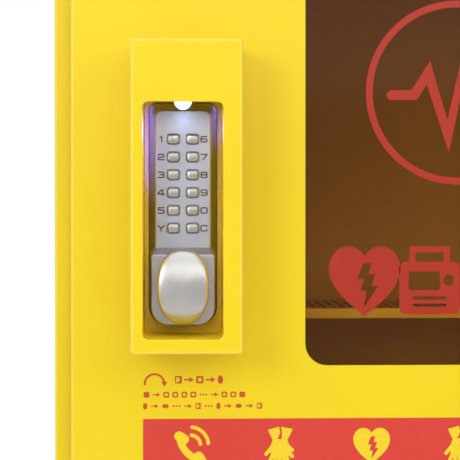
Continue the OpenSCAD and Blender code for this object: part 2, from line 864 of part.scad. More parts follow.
module lock_rear_plate() {
    color(zinc) at_lock() difference() {
        slab(lock_w, lock_h, 7, y_skin, y_skin + rear_t);
        translate([0, 0, knob_z]) rod_y(spindle_r + 0.3, y_skin - cut, y_skin + rear_t + cut);
        for (s = [-1, 1]) translate([0, 0, s * bolt_z])
            rod_y(bolt_r + 0.3, y_skin - cut, y_skin + rear_t + cut);
    }
}

module lock_bolts() {
    y0 = y_skin + rear_t;
    color(zinc) at_lock() for (s = [-1, 1]) translate([0, 0, s * bolt_z]) {
        rod_y(bolt_r, y_lock - 9, y0);
        difference() {
            rod_y(4.6, y0, y0 + 3);
            translate([0, y0 + 3 + cut, 0]) rotate([90, 0, 0]) cylinder(r = 1.8, h = 1.6 + cut, $fn = 6);
        }
    }
}

module knob_bush() {
    color("#9c7b3c") at_lock() translate([0, 0, knob_z]) difference() {
        union() {
            rod_y(bush_r, y_block, y_block + 7);
            rod_y(bush_r + 2, y_block + 7, y_block + 8.5);
        }
        rod_y(spindle_r + gap, y_block - cut, y_block + 9);
    }
}

// Torsion spring that brings the knob back upright
module return_spring() {
    color(zinc) at_lock() translate([0, 0, knob_z])
        tube(helix_path(spindle_r + 2.2, y_skin + rear_t + 2, y_cam - 3, 5, 14), 0.9, 6, [0, 1, 0]);
}

module thumb_knob() {
    end_r = knob_size[0] / 2;
    shift = (knob_size[1] - knob_size[0]) / 2;
    y0 = y_block - 0.6;
    color(satin) at_lock() translate([0, 0, knob_z]) difference() {
        hull() for (s = [-1, 1]) translate([0, 0, s * shift]) {
            rod_y(end_r - 1.5, y0 - 2, y0, $fn = 32);
            rod_y(end_r, y0 - 10, y0 - 5, $fn = 32);
            rod_y(end_r - 5, y0 - knob_d + 1.5, y0 - 5, $fn = 32);
            rod_y(end_r - 11, y0 - knob_d, y0 - 5, $fn = 32);
        }
        rod_y(spindle_r + 0.02, y0 - 14, y0 + cut);
    }
}

module drive_spindle() {
    color(zinc) at_lock() translate([0, 0, knob_z]) {
        rod_y(spindle_r, y_block - 13, y_cam);
        block([-square / 2, y_cam, -square / 2], [square / 2, y_cam + cam_t, square / 2]);
        rod_y(thread_r, y_cam + cam_t, y_cam + cam_t + 8);
    }
}

module clutch_disc() {
    y0 = y_block + 9.5;
    color("#a9872f") at_lock() translate([0, 0, knob_z]) difference() {
        rod_y(clutch_r, y0, y0 + 10);
        rod_y(spindle_r + 0.02, y0 - cut, y0 + 10 + cut);
        for (a = [0:90:270]) rotate([0, a, 0]) translate([10, 0, 0]) rod_y(1.6, y0 - cut, y0 + 10 + cut);
    }
}

module latch_cam() {
    color(zinc) at_lock() translate([0, 0, knob_z]) difference() {
        between_y(y_cam, y_cam + cam_t) {
            circle(r = cam_w / 2 + 3);
            translate([-cam_reach + cam_w / 2, -cam_w / 2]) square([cam_reach - cam_w / 2, cam_w]);
            translate([-cam_reach + cam_w / 2, 0]) circle(r = cam_w / 2);
        }
        block([-square / 2 - gap, y_cam - cut, -square / 2 - gap],
            [square / 2 + gap, y_cam + cam_t + cut, square / 2 + gap]);
    }
}

module cam_nut() {
    y0 = y_cam + cam_t;
    color(zinc) at_lock() translate([0, 0, knob_z]) {
        difference() {
            rod_y(7, y0, y0 + 1);
            rod_y(thread_r + gap, y0 - cut, y0 + 1 + cut);
        }
        nut_y(10, thread_r + gap, y0 + 1, y0 + 6);
    }
}

cabinet_wrap();
cabinet_floor();
cabinet_back();
cabinet_frame();
cabinet_fixings();
door_seal();
strike_plate();
hinge_frame_leaf();
hinge_pin();
shelf();
heater_case();
heater_fins();
power_supply();
thermostat();
wiring_loom();
cable_gland();
gland_locknut();
door_panel();
door_frame();
pictogram_strip();
window_seal();
window_pane();
window_retainer();
window_fixings();
hinge_door_leaf();
lock_hood();
hood_liner();
hood_screws();
lamp_housing();
lamp_lens();
lamp_cable();
cable_grommet();
battery_box();
battery_cover();
battery_cells();
lock_gasket();
lock_case();
code_chamber();
key_springs();
lock_rear_plate();
lock_bolts();
knob_bush();
return_spring();
thumb_knob();
drive_spindle();
clutch_disc();
latch_cam();
cam_nut();
key(0);  // key_1
key(1);  // key_2
key(2);  // key_3
key(3);  // key_4
key(4);  // key_5
key(5);  // key_y
key(6);  // key_6
key(7);  // key_7
key(8);  // key_8
key(9);  // key_9
key(10);  // key_0
key(11);  // key_c
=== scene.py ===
"""Looks of a wall cabinet for a public-access defibrillator.

Every outline is drawn in millimetres in the frame's own axes: the door faces -Y, Z is up. Points are
turned into metres only when a mesh is made. A ring is an outline at one depth, and most sheet metal is a
loft of rings.
"""
import math

import bmesh
import bpy
from mathutils import Matrix, Vector
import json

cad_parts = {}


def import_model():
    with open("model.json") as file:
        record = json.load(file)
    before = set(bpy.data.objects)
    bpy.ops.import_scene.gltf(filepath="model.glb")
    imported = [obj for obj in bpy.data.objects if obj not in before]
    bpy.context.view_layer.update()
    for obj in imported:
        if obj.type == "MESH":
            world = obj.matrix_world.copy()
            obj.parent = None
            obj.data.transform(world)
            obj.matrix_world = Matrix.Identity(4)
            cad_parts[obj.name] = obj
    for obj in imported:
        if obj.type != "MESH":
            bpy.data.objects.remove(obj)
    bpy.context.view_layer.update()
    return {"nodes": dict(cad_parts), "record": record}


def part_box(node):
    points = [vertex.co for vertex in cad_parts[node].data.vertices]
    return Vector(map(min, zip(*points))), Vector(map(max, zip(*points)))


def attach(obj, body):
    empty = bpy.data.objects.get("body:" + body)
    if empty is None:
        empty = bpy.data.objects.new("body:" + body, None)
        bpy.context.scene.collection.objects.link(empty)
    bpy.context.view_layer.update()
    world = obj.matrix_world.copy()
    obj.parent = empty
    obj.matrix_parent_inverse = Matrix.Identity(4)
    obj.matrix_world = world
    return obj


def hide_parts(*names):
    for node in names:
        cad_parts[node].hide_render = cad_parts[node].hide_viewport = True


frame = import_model()

MM = 0.001
ARC_STEPS = 8               # steps in a quarter turn of an outline
SHARP = math.radians(32)    # a fold sharper than this keeps its edge
ROLLED = math.radians(35)   # and one sharper than this is rolled over
scene = bpy.context.scene


def box_mm(node):
    """The lowest and highest corners of a CAD node, in millimetres."""
    low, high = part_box(node)
    return low / MM, high / MM


def middle(low, high):
    """The middle of a box as seen from the front, as (x, z)."""
    return (low.x + high.x) / 2, (low.z + high.z) / 2


# ---------------------------------------------------------------- places, taken from the frame

door_low, door_high = box_mm("door_panel")
hood_low, hood_high = box_mm("lock_hood")
case_low, case_high = box_mm("lock_case")
knob_low, knob_high = box_mm("thumb_knob")
pane_low, pane_high = box_mm("window_pane")
strip_low, strip_high = box_mm("pictogram_strip")
liner_low, liner_high = box_mm("hood_liner")
frame_low, frame_high = box_mm("cabinet_frame")
lens_low, lens_high = box_mm("lamp_lens")

SHEET = 2.0                # thickness of the sheet steel
FLANGE = 36.0              # width of the flange round the cabinet's opening
LINER_T = 1.5
PANE_LAP = 12.0            # how far the pane reaches behind the door skin
HOLE_STEPS = 48
BUSH = 16.0                # width of the knob bush
Y_DOOR = door_low.y
Y_HOOD = hood_low.y
Y_PANE = pane_low.y
Y_CASE = case_high.y
Y_FACE = Y_CASE - 18.0     # front of the keypad
Y_BLOCK = case_low.y       # front of the block under the knob

lock_x = (case_low.x + case_high.x) / 2
lock_w = case_high.x - case_low.x
lock_h = case_high.z - case_low.z
knob_z = (knob_low.z + knob_high.z) / 2
knob_at = (lock_x, knob_z)
window_w = pane_high.x - pane_low.x - 2 * PANE_LAP
window_h = pane_high.z - pane_low.z - 2 * PANE_LAP
window_at = middle(pane_low, pane_high)
WINDOW_R = 16.5
mouth_w = liner_high.x - liner_low.x - 2 * LINER_T
mouth_h = 168.6            # the liner is open above the mouth, so this isn't in its box
mouth_at = (lock_x, liner_low.z + LINER_T + mouth_h / 2)
MOUTH_R = 4.5
BOLT_Z = 74.0              # the lock's two through bolts, above and below its middle
STRIKE_Z = 14.0            # the strike plate's two screws, above and below the knob
STRIKE_DEPTH = 13.0        # and how far they are behind the cabinet's flange
TAPPED = 4.1               # a hole that a screw is threaded into
hood_at = middle(hood_low, hood_high)
HOOD_SCREWS = [(hood_at[0] + x, z) for x, z in ((-24, 108), (24, 108), (35.5, 60), (35.5, -70))]
KEYS = ["1", "2", "3", "4", "5", "y", "6", "7", "8", "9", "0", "c"]


# ---------------------------------------------------------------- outlines, as lists of (x, z) in millimetres

def arc(centre, r, start, end, steps=ARC_STEPS):
    """Points on an arc, from angle start to angle end in degrees, where r may be (across, up)."""
    rx, rz = r if isinstance(r, tuple) else (r, r)
    angles = [math.radians(start + (end - start) * k / steps) for k in range(steps + 1)]
    return [(centre[0] + rx * math.cos(a), centre[1] + rz * math.sin(a)) for a in angles]


def rounded(w, h, r, at=(0, 0), r_low=None, steps=ARC_STEPS):
    """A rectangle with round corners. r_low is the radius of its two lower corners."""
    r_low = r if r_low is None else r_low
    x, z = w / 2, h / 2
    outline = []
    for sx, sz, radius, start in ((1, 1, r, 0), (-1, 1, r, 90), (-1, -1, r_low, 180), (1, -1, r_low, 270)):
        centre = (at[0] + sx * (x - radius), at[1] + sz * (z - radius))
        outline += arc(centre, radius, start, start + 90, steps)
    return outline


def oval(w, h, power, at=(0, 0), count=72):
    """A rounded oval: power 2 is an ellipse, and more is squarer."""
    outline = []
    for k in range(count):
        a = 2 * math.pi * k / count
        c, s = math.cos(a), math.sin(a)
        outline.append((at[0] + w / 2 * math.copysign(abs(c) ** (2 / power), c),
                        at[1] + h / 2 * math.copysign(abs(s) ** (2 / power), s)))
    return outline


def stroke(points, width):
    """The outline of a pen line of that width along points, with round ends."""
    path = [Vector(p) for p in points]
    left, right = [], []
    for i, p in enumerate(path):
        before = (p - path[max(i - 1, 0)]).normalized()
        after = (path[min(i + 1, len(path) - 1)] - p).normalized()
        along = (before + after).normalized()
        across = max((after if i == 0 else before).dot(along), 0.3)
        side = Vector((-along.y, along.x)) * width / 2 / across
        left.append(tuple(p + side))
        right.append(tuple(p - side))
    first, last = (path[1] - path[0]), (path[-1] - path[-2])
    turn_first = math.degrees(math.atan2(first.y, first.x))
    turn_last = math.degrees(math.atan2(last.y, last.x))
    head = arc(path[-1], width / 2, turn_last + 90, turn_last - 90, 6)[1:-1]
    tail = arc(path[0], width / 2, turn_first - 90, turn_first - 270, 6)[1:-1]
    return left + head + right[::-1] + tail


def smooth(points, steps=4):
    """Points on a smooth curve through the given ones."""
    path = [Vector(p) for p in points]
    curve = []
    for i in range(len(path) - 1):
        a, b, c, d = path[max(i - 1, 0)], path[i], path[i + 1], path[min(i + 2, len(path) - 1)]
        for k in range(steps):
            t = k / steps
            curve.append(tuple(0.5 * (2 * b + (c - a) * t + (2 * a - 5 * b + 4 * c - d) * t * t
                                      + (3 * b - a - 3 * c + d) * t ** 3)))
    return curve + [tuple(path[-1])]


def moved(outline, at, turn=0.0):
    """An outline turned about its origin, in degrees, then moved to at."""
    c, s = math.cos(math.radians(turn)), math.sin(math.radians(turn))
    return [(at[0] + c * x - s * z, at[1] + s * x + c * z) for x, z in outline]


# ---------------------------------------------------------------- meshes

def fillet(path, radii, steps=5):
    """Rounds the inner corners of a path of (inset, y) points, and returns (inset, y, wear and highlight)
    points. The mark is 1 halfway round a fold that faces outwards: partly wear, where handling polishes the
    paint, and partly a painted highlight for the light that the bent edge catches."""
    points = []
    for i, r in enumerate(radii, start=1):
        p = Vector(path[i])
        a, b = ((Vector(q) - p).normalized() for q in (path[i - 1], path[i + 1]))
        if r == 0:
            points.append((p.x, p.y, 0.0))
            continue
        half = a.angle(b) / 2
        centre = p + (a + b).normalized() * (r / math.sin(half))
        u, v = p + a * (r / math.tan(half)) - centre, p + b * (r / math.tan(half)) - centre
        total = u.angle(v)
        for k in range(steps + 1):
            f = k / steps
            q = centre + (math.sin((1 - f) * total) * u + math.sin(f * total) * v) / math.sin(total)
            points.append((q.x, q.y, math.sin(math.pi * f) * min(1.0, r)))
    return points


def ring(outline, y, wear_and_highlight=0.0):
    """An outline at one depth, with the wear of its paint and the painted highlight of its folds."""
    return [(x, y, z) for x, z in outline], wear_and_highlight


def rings_of(w, h, r, at, path):
    """Rings of one rectangle, inset and placed along Y as path says."""
    return [ring(rounded(w - 2 * inset, h - 2 * inset, max(r - inset, 0.3), at), y, wear_and_highlight)
            for inset, y, wear_and_highlight in path]


def loft(name, rings, closed=False, cap_first=False, cap_last=False):
    """A mesh through rings of as many points each. A ring is (points, wear and painted highlight)."""
    count = len(rings[0][0])
    vertices = [Vector(p) * MM for points, wear_and_highlight in rings for p in points]
    faces = []
    for i in range(len(rings) if closed else len(rings) - 1):
        j = (i + 1) % len(rings)
        for k in range(count):
            m = (k + 1) % count
            faces.append((i * count + k, i * count + m, j * count + m, j * count + k))
    if cap_first:
        faces.append(tuple(range(count - 1, -1, -1)))
    if cap_last:
        faces.append(tuple(range((len(rings) - 1) * count, len(rings) * count)))
    mesh = bpy.data.meshes.new(name)
    mesh.from_pydata(vertices, [], faces)
    # per point: worn paint and a painted highlight round the folds
    worn_and_highlit = mesh.attributes.new("wear_and_highlight", "FLOAT", "POINT")
    worn_and_highlit.data.foreach_set("value", [w for points, w in rings for point in points])
    outward(mesh)
    return mesh


def outward(mesh):
    """Turns every face of a closed mesh to the outside."""
    bm = bmesh.new()
    bm.from_mesh(mesh)
    bmesh.ops.recalc_face_normals(bm, faces=bm.faces)
    bm.to_mesh(mesh)
    bm.free()


def plate(name, outlines, y_front, y_back, bevel=0.0):
    """A flat plate between two depths. An outline inside another is a hole in it."""
    curve = bpy.data.curves.new(name, "CURVE")
    curve.dimensions, curve.fill_mode = "2D", "BOTH"
    for outline in outlines:
        spline = curve.splines.new("POLY")
        spline.points.add(len(outline) - 1)
        for point, (x, z) in zip(spline.points, outline):
            point.co = (x, z, 0, 1)
        spline.use_cyclic_u = True
    curve.extrude = (y_back - y_front) / 2 - bevel
    curve.bevel_depth = bevel
    curve.bevel_resolution = 2
    curve.offset = -bevel
    mesh = mesh_of(curve, name)
    mesh.transform(standing((0, (y_front + y_back) / 2, 0)))
    return mesh


def standing(at):
    """Takes a flat drawing in millimetres to an upright one in metres that faces -Y."""
    return Matrix.Scale(MM, 4) @ Matrix.Translation(at) @ Matrix.Rotation(math.pi / 2, 4, "X")


def mesh_of(curve, name):
    """The mesh that a curve makes."""
    carrier = bpy.data.objects.new(name + "_line", curve)
    scene.collection.objects.link(carrier)
    bpy.context.view_layer.update()
    made = carrier.evaluated_get(bpy.context.evaluated_depsgraph_get())
    mesh = bpy.data.meshes.new_from_object(made)
    mesh.name = name
    bpy.data.objects.remove(carrier)
    bpy.data.curves.remove(curve)
    bm = bmesh.new()
    bm.from_mesh(mesh)
    bmesh.ops.remove_doubles(bm, verts=bm.verts, dist=1e-3)
    bm.to_mesh(mesh)
    bm.free()
    return mesh


def joined(name, meshes):
    """One mesh that holds them all."""
    bm = bmesh.new()
    for mesh in meshes:
        bm.from_mesh(mesh)
        bpy.data.meshes.remove(mesh)
    whole = bpy.data.meshes.new(name)
    bm.to_mesh(whole)
    bm.free()
    return whole


def carved(name, base, cutters=(), additions=()):
    """A closed mesh with others added to it, then with cutters taken out of it."""
    solid = bpy.data.objects.new(name, base)
    scene.collection.objects.link(solid)
    tools = []
    for kind, meshes in (("UNION", additions), ("DIFFERENCE", cutters)):
        for mesh in meshes:
            tool = bpy.data.objects.new(mesh.name, mesh)
            scene.collection.objects.link(tool)
            tools.append(tool)
            cut = solid.modifiers.new(kind.lower(), "BOOLEAN")
            cut.operation, cut.object, cut.solver = kind, tool, "EXACT"
    bpy.context.view_layer.update()
    mesh = bpy.data.meshes.new_from_object(solid.evaluated_get(bpy.context.evaluated_depsgraph_get()))
    mesh.name = name
    for used in [solid, *tools]:
        bpy.data.objects.remove(used)
    mesh.materials.clear()
    return mesh


def prism(name, outline, y0, y1):
    """A straight solid of one outline between two depths."""
    return loft(name, [ring(outline, y0), ring(outline, y1)], cap_first=True, cap_last=True)


def drilled(name, base, holes, y0, y1):
    """A mesh with round holes through it between two depths. A hole is (place, width)."""
    drills = [prism("drill", oval(width, width, 2, at, HOLE_STEPS), y0, y1) for at, width in holes]
    return carved(name, base, drills)


def even_normals(obj):
    """Flat faces keep their own direction beside rounded edges."""
    normals = obj.modifiers.new("flat_faces", "WEIGHTED_NORMAL")
    normals.keep_sharp = True
    normals.weight = 90


def shade(obj):
    """Smooth faces with true edges."""
    obj.data.polygons.foreach_set("use_smooth", [True] * len(obj.data.polygons))
    obj.data.set_sharp_from_angle(angle=SHARP)
    even_normals(obj)


def piece(mesh, body, slot, replaces=(), finish=None, bevel=0.0):
    """Puts a mesh in the scene as a piece of the object, in its slot's finish unless it has its own."""
    obj = bpy.data.objects.new(mesh.name, mesh)
    scene.collection.objects.link(obj)
    obj.data.materials.append(finish or MATERIALS[slot])
    if bevel:
        round_edges(obj, bevel)
    shade(obj)
    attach(obj, body)
    if replaces:
        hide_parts(*replaces)
    return obj


def round_edges(obj, width):
    bevel = obj.modifiers.new("round_edges", "BEVEL")
    bevel.width, bevel.segments = width * MM, 2
    bevel.limit_method, bevel.angle_limit = "ANGLE", ROLLED
    bevel.use_clamp_overlap = True


# ---------------------------------------------------------------- materials

class Paint:
    """A material under construction: short names for the nodes that the finishes below share."""

    def __init__(self, name):
        self.material = bpy.data.materials.new(name)
        self.material.use_nodes = True
        self.tree = self.material.node_tree
        self.shader = self.tree.nodes["Principled BSDF"]
        self.coords = self.tree.nodes.new("ShaderNodeTexCoord").outputs["Object"]

    def link(self, output, name):
        self.tree.links.new(output, self.shader.inputs[name])

    def set(self, **values):
        for name, value in values.items():
            self.shader.inputs[name.replace("_", " ")].default_value = value

    def stretched(self, sx, sy, sz):
        """Object coordinates scaled along each axis, for grain that runs one way."""
        mapping = self.tree.nodes.new("ShaderNodeMapping")
        mapping.inputs["Scale"].default_value = (sx, sy, sz)
        self.tree.links.new(self.coords, mapping.inputs["Vector"])
        return mapping.outputs["Vector"]

    def noise(self, scale, detail=2.0, roughness=0.5, coords=None):
        node = self.tree.nodes.new("ShaderNodeTexNoise")
        node.inputs["Scale"].default_value = scale
        node.inputs["Detail"].default_value = detail
        node.inputs["Roughness"].default_value = roughness
        self.tree.links.new(coords or self.coords, node.inputs["Vector"])
        return node.outputs["Fac"]

    def ranged(self, value, low, high, from_low=0.3, from_high=0.7):
        node = self.tree.nodes.new("ShaderNodeMapRange")
        limits = {"From Min": from_low, "From Max": from_high, "To Min": low, "To Max": high}
        for name, number in limits.items():
            node.inputs[name].default_value = number
        self.tree.links.new(value, node.inputs["Value"])
        return node.outputs["Result"]

    def mixed(self, amount, first, second):
        """Colour first where amount is 0, and second where it is 1. Either may be a socket."""
        node = self.tree.nodes.new("ShaderNodeMix")
        node.data_type = "RGBA"
        self.tree.links.new(amount, node.inputs[0])
        for value, socket in ((first, node.inputs[6]), (second, node.inputs[7])):
            if isinstance(value, tuple):
                socket.default_value = (*value, 1.0)
            else:
                self.tree.links.new(value, socket)
        return node.outputs[2]

    def attribute(self, name):
        node = self.tree.nodes.new("ShaderNodeAttribute")
        node.attribute_name = name
        return node.outputs["Fac"]

    def bump(self, height, distance, strength=1.0, below=None):
        node = self.tree.nodes.new("ShaderNodeBump")
        node.inputs["Distance"].default_value = distance
        node.inputs["Strength"].default_value = strength
        self.tree.links.new(height, node.inputs["Height"])
        if below:
            self.tree.links.new(below, node.inputs["Normal"])
        return node.outputs["Normal"]

    def tint(self, amount, colour, low, high):
        """Base colour between two tints of one colour."""
        self.link(self.mixed(amount, tinted(colour, low), tinted(colour, high)), "Base Color")

    def rough(self, scale, detail, low, high):
        self.link(self.ranged(self.noise(scale, detail), low, high), "Roughness")

    def grain(self, scale, depth, strength):
        self.link(self.bump(self.noise(scale, 2), depth, strength), "Normal")


def tinted(colour, factor):
    return tuple(min(1.0, c * factor) for c in colour)


def powder_coat(name, colour, worn_and_highlit):
    """Satin powder coat: fine orange peel, slow waves of the sheet, and paler folds, partly rubbed paint and
    partly a painted highlight.
    """
    paint = Paint(name)
    patches = paint.mixed(paint.ranged(paint.noise(9, 3), 0, 1), tinted(colour, 0.975), tinted(colour, 1.02))
    specks = paint.mixed(paint.ranged(paint.noise(900, 1), 0, 0.35, 0.55, 0.8), patches, tinted(colour, 0.94))
    # the folds are painted paler: worn paint, and a painted highlight where a bent edge catches the light
    rubbed_and_highlit = paint.mixed(paint.ranged(paint.attribute("wear_and_highlight"), 0, 0.55, 0, 1), specks, worn_and_highlit)
    paint.link(rubbed_and_highlit, "Base Color")
    paint.rough(45, 3, 0.30, 0.40)
    waves = paint.bump(paint.noise(7, 1), 0.0006, 0.25)
    paint.link(paint.bump(paint.noise(620, 2, 0.4), 0.00005, 0.35, waves), "Normal")
    paint.set(Specular_IOR_Level=0.38, Coat_Weight=0.05, Coat_Roughness=0.22)
    return paint.material


def satin_metal(name, colour, rough=(0.30, 0.38), grain=2400, depth=0.00002):
    """Cast or plated metal with a fine even grain and faint clouding."""
    paint = Paint(name)
    cloud = paint.ranged(paint.noise(60, 4), 0, 1)
    paint.tint(cloud, colour, 0.93, 1.04)
    paint.rough(220, 3, *rough)
    paint.grain(grain, depth, 0.5)
    paint.set(Metallic=1.0)
    return paint.material


def drawn_metal(name, colour, stretch, rough=(0.26, 0.42)):
    """Rolled or machined metal, whose grain runs along one axis."""
    paint = Paint(name)
    streaks = paint.noise(1, 4, 0.6, paint.stretched(*stretch))
    paint.tint(paint.ranged(streaks, 0, 1), colour, 0.85, 1.06)
    paint.link(paint.ranged(streaks, *rough), "Roughness")
    paint.link(paint.bump(streaks, 0.00002, 0.6), "Normal")
    paint.set(Metallic=1.0)
    return paint.material


def moulded(name, colour, rough=(0.42, 0.55), grain=1100, depth=0.00004):
    """Moulded plastic or rubber with a spark-eroded grain."""
    paint = Paint(name)
    paint.tint(paint.ranged(paint.noise(80, 3), 0, 1), colour, 0.88, 1.1)
    paint.rough(300, 2, *rough)
    paint.grain(grain, depth, 0.5)
    return paint.material


def ink(name, colour, rough=(0.40, 0.52)):
    """Screen-printed ink or printed film, with slightly uneven cover."""
    paint = Paint(name)
    cover = paint.ranged(paint.noise(420, 3), 0, 1)
    paint.tint(cover, colour, 0.95, 1.05)
    paint.rough(160, 2, *rough)
    paint.grain(800, 0.00002, 0.3)
    paint.set(Specular_IOR_Level=0.35)
    return paint.material


def smoked_sheet(name):
    """Smoked polycarbonate: it tints what is behind it, and has the faint flow lines of an extruded sheet."""
    paint = Paint(name)
    flow = paint.noise(1, 3, 0.5, paint.stretched(3, 3, 14))
    brown = paint.mixed(paint.ranged(flow, 0, 1), (0.082, 0.034, 0.016), (0.096, 0.040, 0.020))
    paint.link(brown, "Base Color")
    paint.rough(30, 2, 0.07, 0.11)
    paint.set(Specular_IOR_Level=0.30)
    clear = paint.tree.nodes.new("ShaderNodeBsdfTransparent")
    clear.inputs["Color"].default_value = (0.82, 0.67, 0.56, 1)
    mix = paint.tree.nodes.new("ShaderNodeMixShader")
    mix.inputs["Fac"].default_value = 0.24
    paint.tree.links.new(clear.outputs[0], mix.inputs[1])
    paint.tree.links.new(paint.shader.outputs[0], mix.inputs[2])
    paint.tree.links.new(mix.outputs[0], paint.tree.nodes["Material Output"].inputs["Surface"])
    return paint.material


def lit_lens(name):
    """Clear lens of a white lamp that is on, with a slightly uneven glow."""
    paint = Paint(name)
    glow = paint.ranged(paint.noise(300, 2), 0, 1)
    paint.link(paint.mixed(glow, (0.80, 0.95, 1.0), (0.92, 1.0, 1.0)), "Base Color")
    paint.link(paint.mixed(glow, (0.60, 0.90, 1.0), (0.76, 1.0, 1.0)), "Emission Color")
    paint.rough(500, 2, 0.10, 0.16)
    paint.set(Emission_Strength=0.9)
    return paint.material


YELLOW = (0.885, 0.680, 0.004)
FINISHES = {     # how each is made, and the values for it after its name
    # a powder coat's last colour is that of its folds: worn paint and a painted highlight
    "yellow_powder_coat": (powder_coat, YELLOW, (1.0, 0.84, 0.17)),
    "yellow_retainer": (powder_coat, tinted(YELLOW, 0.97), (0.97, 0.80, 0.20)),
    "red_print": (ink, (0.70, 0.053, 0.036)),
    "black_rubber": (moulded, (0.028, 0.026, 0.024), (0.6, 0.75), 700),
    "smoked_pane": (smoked_sheet,),
    "satin_cast_zinc": (satin_metal, (0.455, 0.49, 0.585), (0.38, 0.46)),
    "satin_knob": (satin_metal, (0.57, 0.575, 0.57), (0.28, 0.33), 3200, 0.000004),
    "key_caps": (satin_metal, (0.46, 0.465, 0.48), (0.28, 0.36), 3000, 0.000004),
    "zinc_plate": (drawn_metal, (0.62, 0.63, 0.64), (300, 300, 1500)),
    "stainless": (drawn_metal, (0.56, 0.55, 0.53), (1600, 1600, 60)),
    "spring_steel": (satin_metal, (0.5, 0.5, 0.5), (0.25, 0.35)),
    "brass": (drawn_metal, (0.72, 0.53, 0.20), (900, 200, 900)),
    "black_plastic": (moulded, (0.030, 0.030, 0.033)),
    "lamp_lens": (lit_lens,),
    "wire_sheath": (moulded, (0.035, 0.035, 0.038), (0.35, 0.45), 2000),
    "grey_steel_case": (drawn_metal, (0.47, 0.48, 0.49), (40, 900, 900), (0.4, 0.5)),
    "bare_aluminium": (drawn_metal, (0.76, 0.77, 0.78), (900, 60, 60)),
    "ivory_plastic": (moulded, (0.78, 0.77, 0.70), (0.35, 0.45)),
    "cell_wrap": (ink, (0.06, 0.22, 0.08), (0.2, 0.3)),
}
MATERIALS = {name: make(name, *values) for name, (make, *values) in FINISHES.items()}
yellow_ink = ink("yellow_ink", (0.90, 0.66, 0.02))
window_ink = ink("window_ink", (0.43, 0.028, 0.010), (0.32, 0.42))
brick_ink = ink("brick_ink", (0.60, 0.090, 0.020))
legend_ink = ink("legend_ink", (0.022, 0.022, 0.040))
NODE_SLOT = {s["node"]: s["material_slot"] for s in frame["record"]["subparts"]}


# ---------------------------------------------------------------- camera, light and stage

def camera():
    """The eye is level with the lock, a little over a metre from the door."""
    eye_distance, aim_right, aim_down = 1060, 35.25, 12
    eye = Vector((lock_x, Y_DOOR - eye_distance, 0)) * MM
    aim = Vector((lock_x + aim_right, Y_DOOR, -aim_down)) * MM
    data = bpy.data.cameras.new("camera")
    data.lens, data.sensor_width = 110.6, 36
    data.clip_start, data.clip_end = 0.05, 50
    obj = bpy.data.objects.new("camera", data)
    obj.location = eye
    obj.rotation_euler = (aim - eye).to_track_quat("-Z", "Y").to_euler()
    scene.collection.objects.link(obj)
    scene.camera = obj


def area_light(name, place, aim, size, watts, colour=(1, 1, 1)):
    data = bpy.data.lights.new(name, "AREA")
    data.shape, data.size, data.size_y = "RECTANGLE", size[0], size[1]
    data.energy, data.color = watts, colour
    obj = bpy.data.objects.new(name, data)
    obj.location = place
    obj.rotation_euler = (Vector(aim) - Vector(place)).to_track_quat("-Z", "Y").to_euler()
    scene.collection.objects.link(obj)


def world():
    """Pale room: white where it is seen, and dimmer towards the floor as a fill light."""
    sky = bpy.data.worlds.new("room")
    sky.use_nodes = True
    nodes, links = sky.node_tree.nodes, sky.node_tree.links
    background = nodes["Background"]
    coords = nodes.new("ShaderNodeTexCoord")
    split = nodes.new("ShaderNodeSeparateXYZ")
    links.new(coords.outputs["Generated"], split.inputs[0])
    ramp = nodes.new("ShaderNodeValToRGB")
    height = nodes.new("ShaderNodeMapRange")
    height.inputs["From Min"].default_value = -1
    links.new(split.outputs["Z"], height.inputs["Value"])
    links.new(height.outputs["Result"], ramp.inputs["Fac"])
    stops = ramp.color_ramp.elements
    stops[0].position, stops[0].color = 0.30, (0.50, 0.44, 0.41, 1)
    stops[1].position, stops[1].color = 0.75, (0.64, 0.60, 0.58, 1)
    seen = nodes.new("ShaderNodeLightPath")
    mix = nodes.new("ShaderNodeMix")
    mix.data_type = "RGBA"
    links.new(seen.outputs["Is Camera Ray"], mix.inputs[0])
    links.new(ramp.outputs["Color"], mix.inputs[6])
    mix.inputs[7].default_value = (1, 1, 1, 1)
    links.new(mix.outputs[2], background.inputs["Color"])
    background.inputs["Strength"].default_value = 1.0
    scene.world = sky


def floor():
    """A pale floor below the cabinet, which hangs on its wall fixings. The camera sees it as white."""
    half, level = 15, -1.3      # metres
    corners = [(-half, -half, level), (half, -half, level), (half, half, level), (-half, half, level)]
    mesh = bpy.data.meshes.new("floor")
    mesh.from_pydata(corners, [], [(0, 1, 2, 3)])
    obj = bpy.data.objects.new("floor", mesh)
    paint = Paint("pale_floor")
    cloud = paint.ranged(paint.noise(3, 3), 0, 1)
    paint.link(paint.mixed(cloud, (0.84, 0.84, 0.83), (0.88, 0.88, 0.87)), "Base Color")
    paint.set(Roughness=0.7, Emission_Color=(1, 1, 1, 1))
    seen = paint.tree.nodes.new("ShaderNodeLightPath")
    paint.link(paint.ranged(seen.outputs["Is Camera Ray"], 0.17, 0.52, 0, 1), "Emission Strength")
    mesh.materials.append(paint.material)
    scene.collection.objects.link(obj)


# ---------------------------------------------------------------- body and door

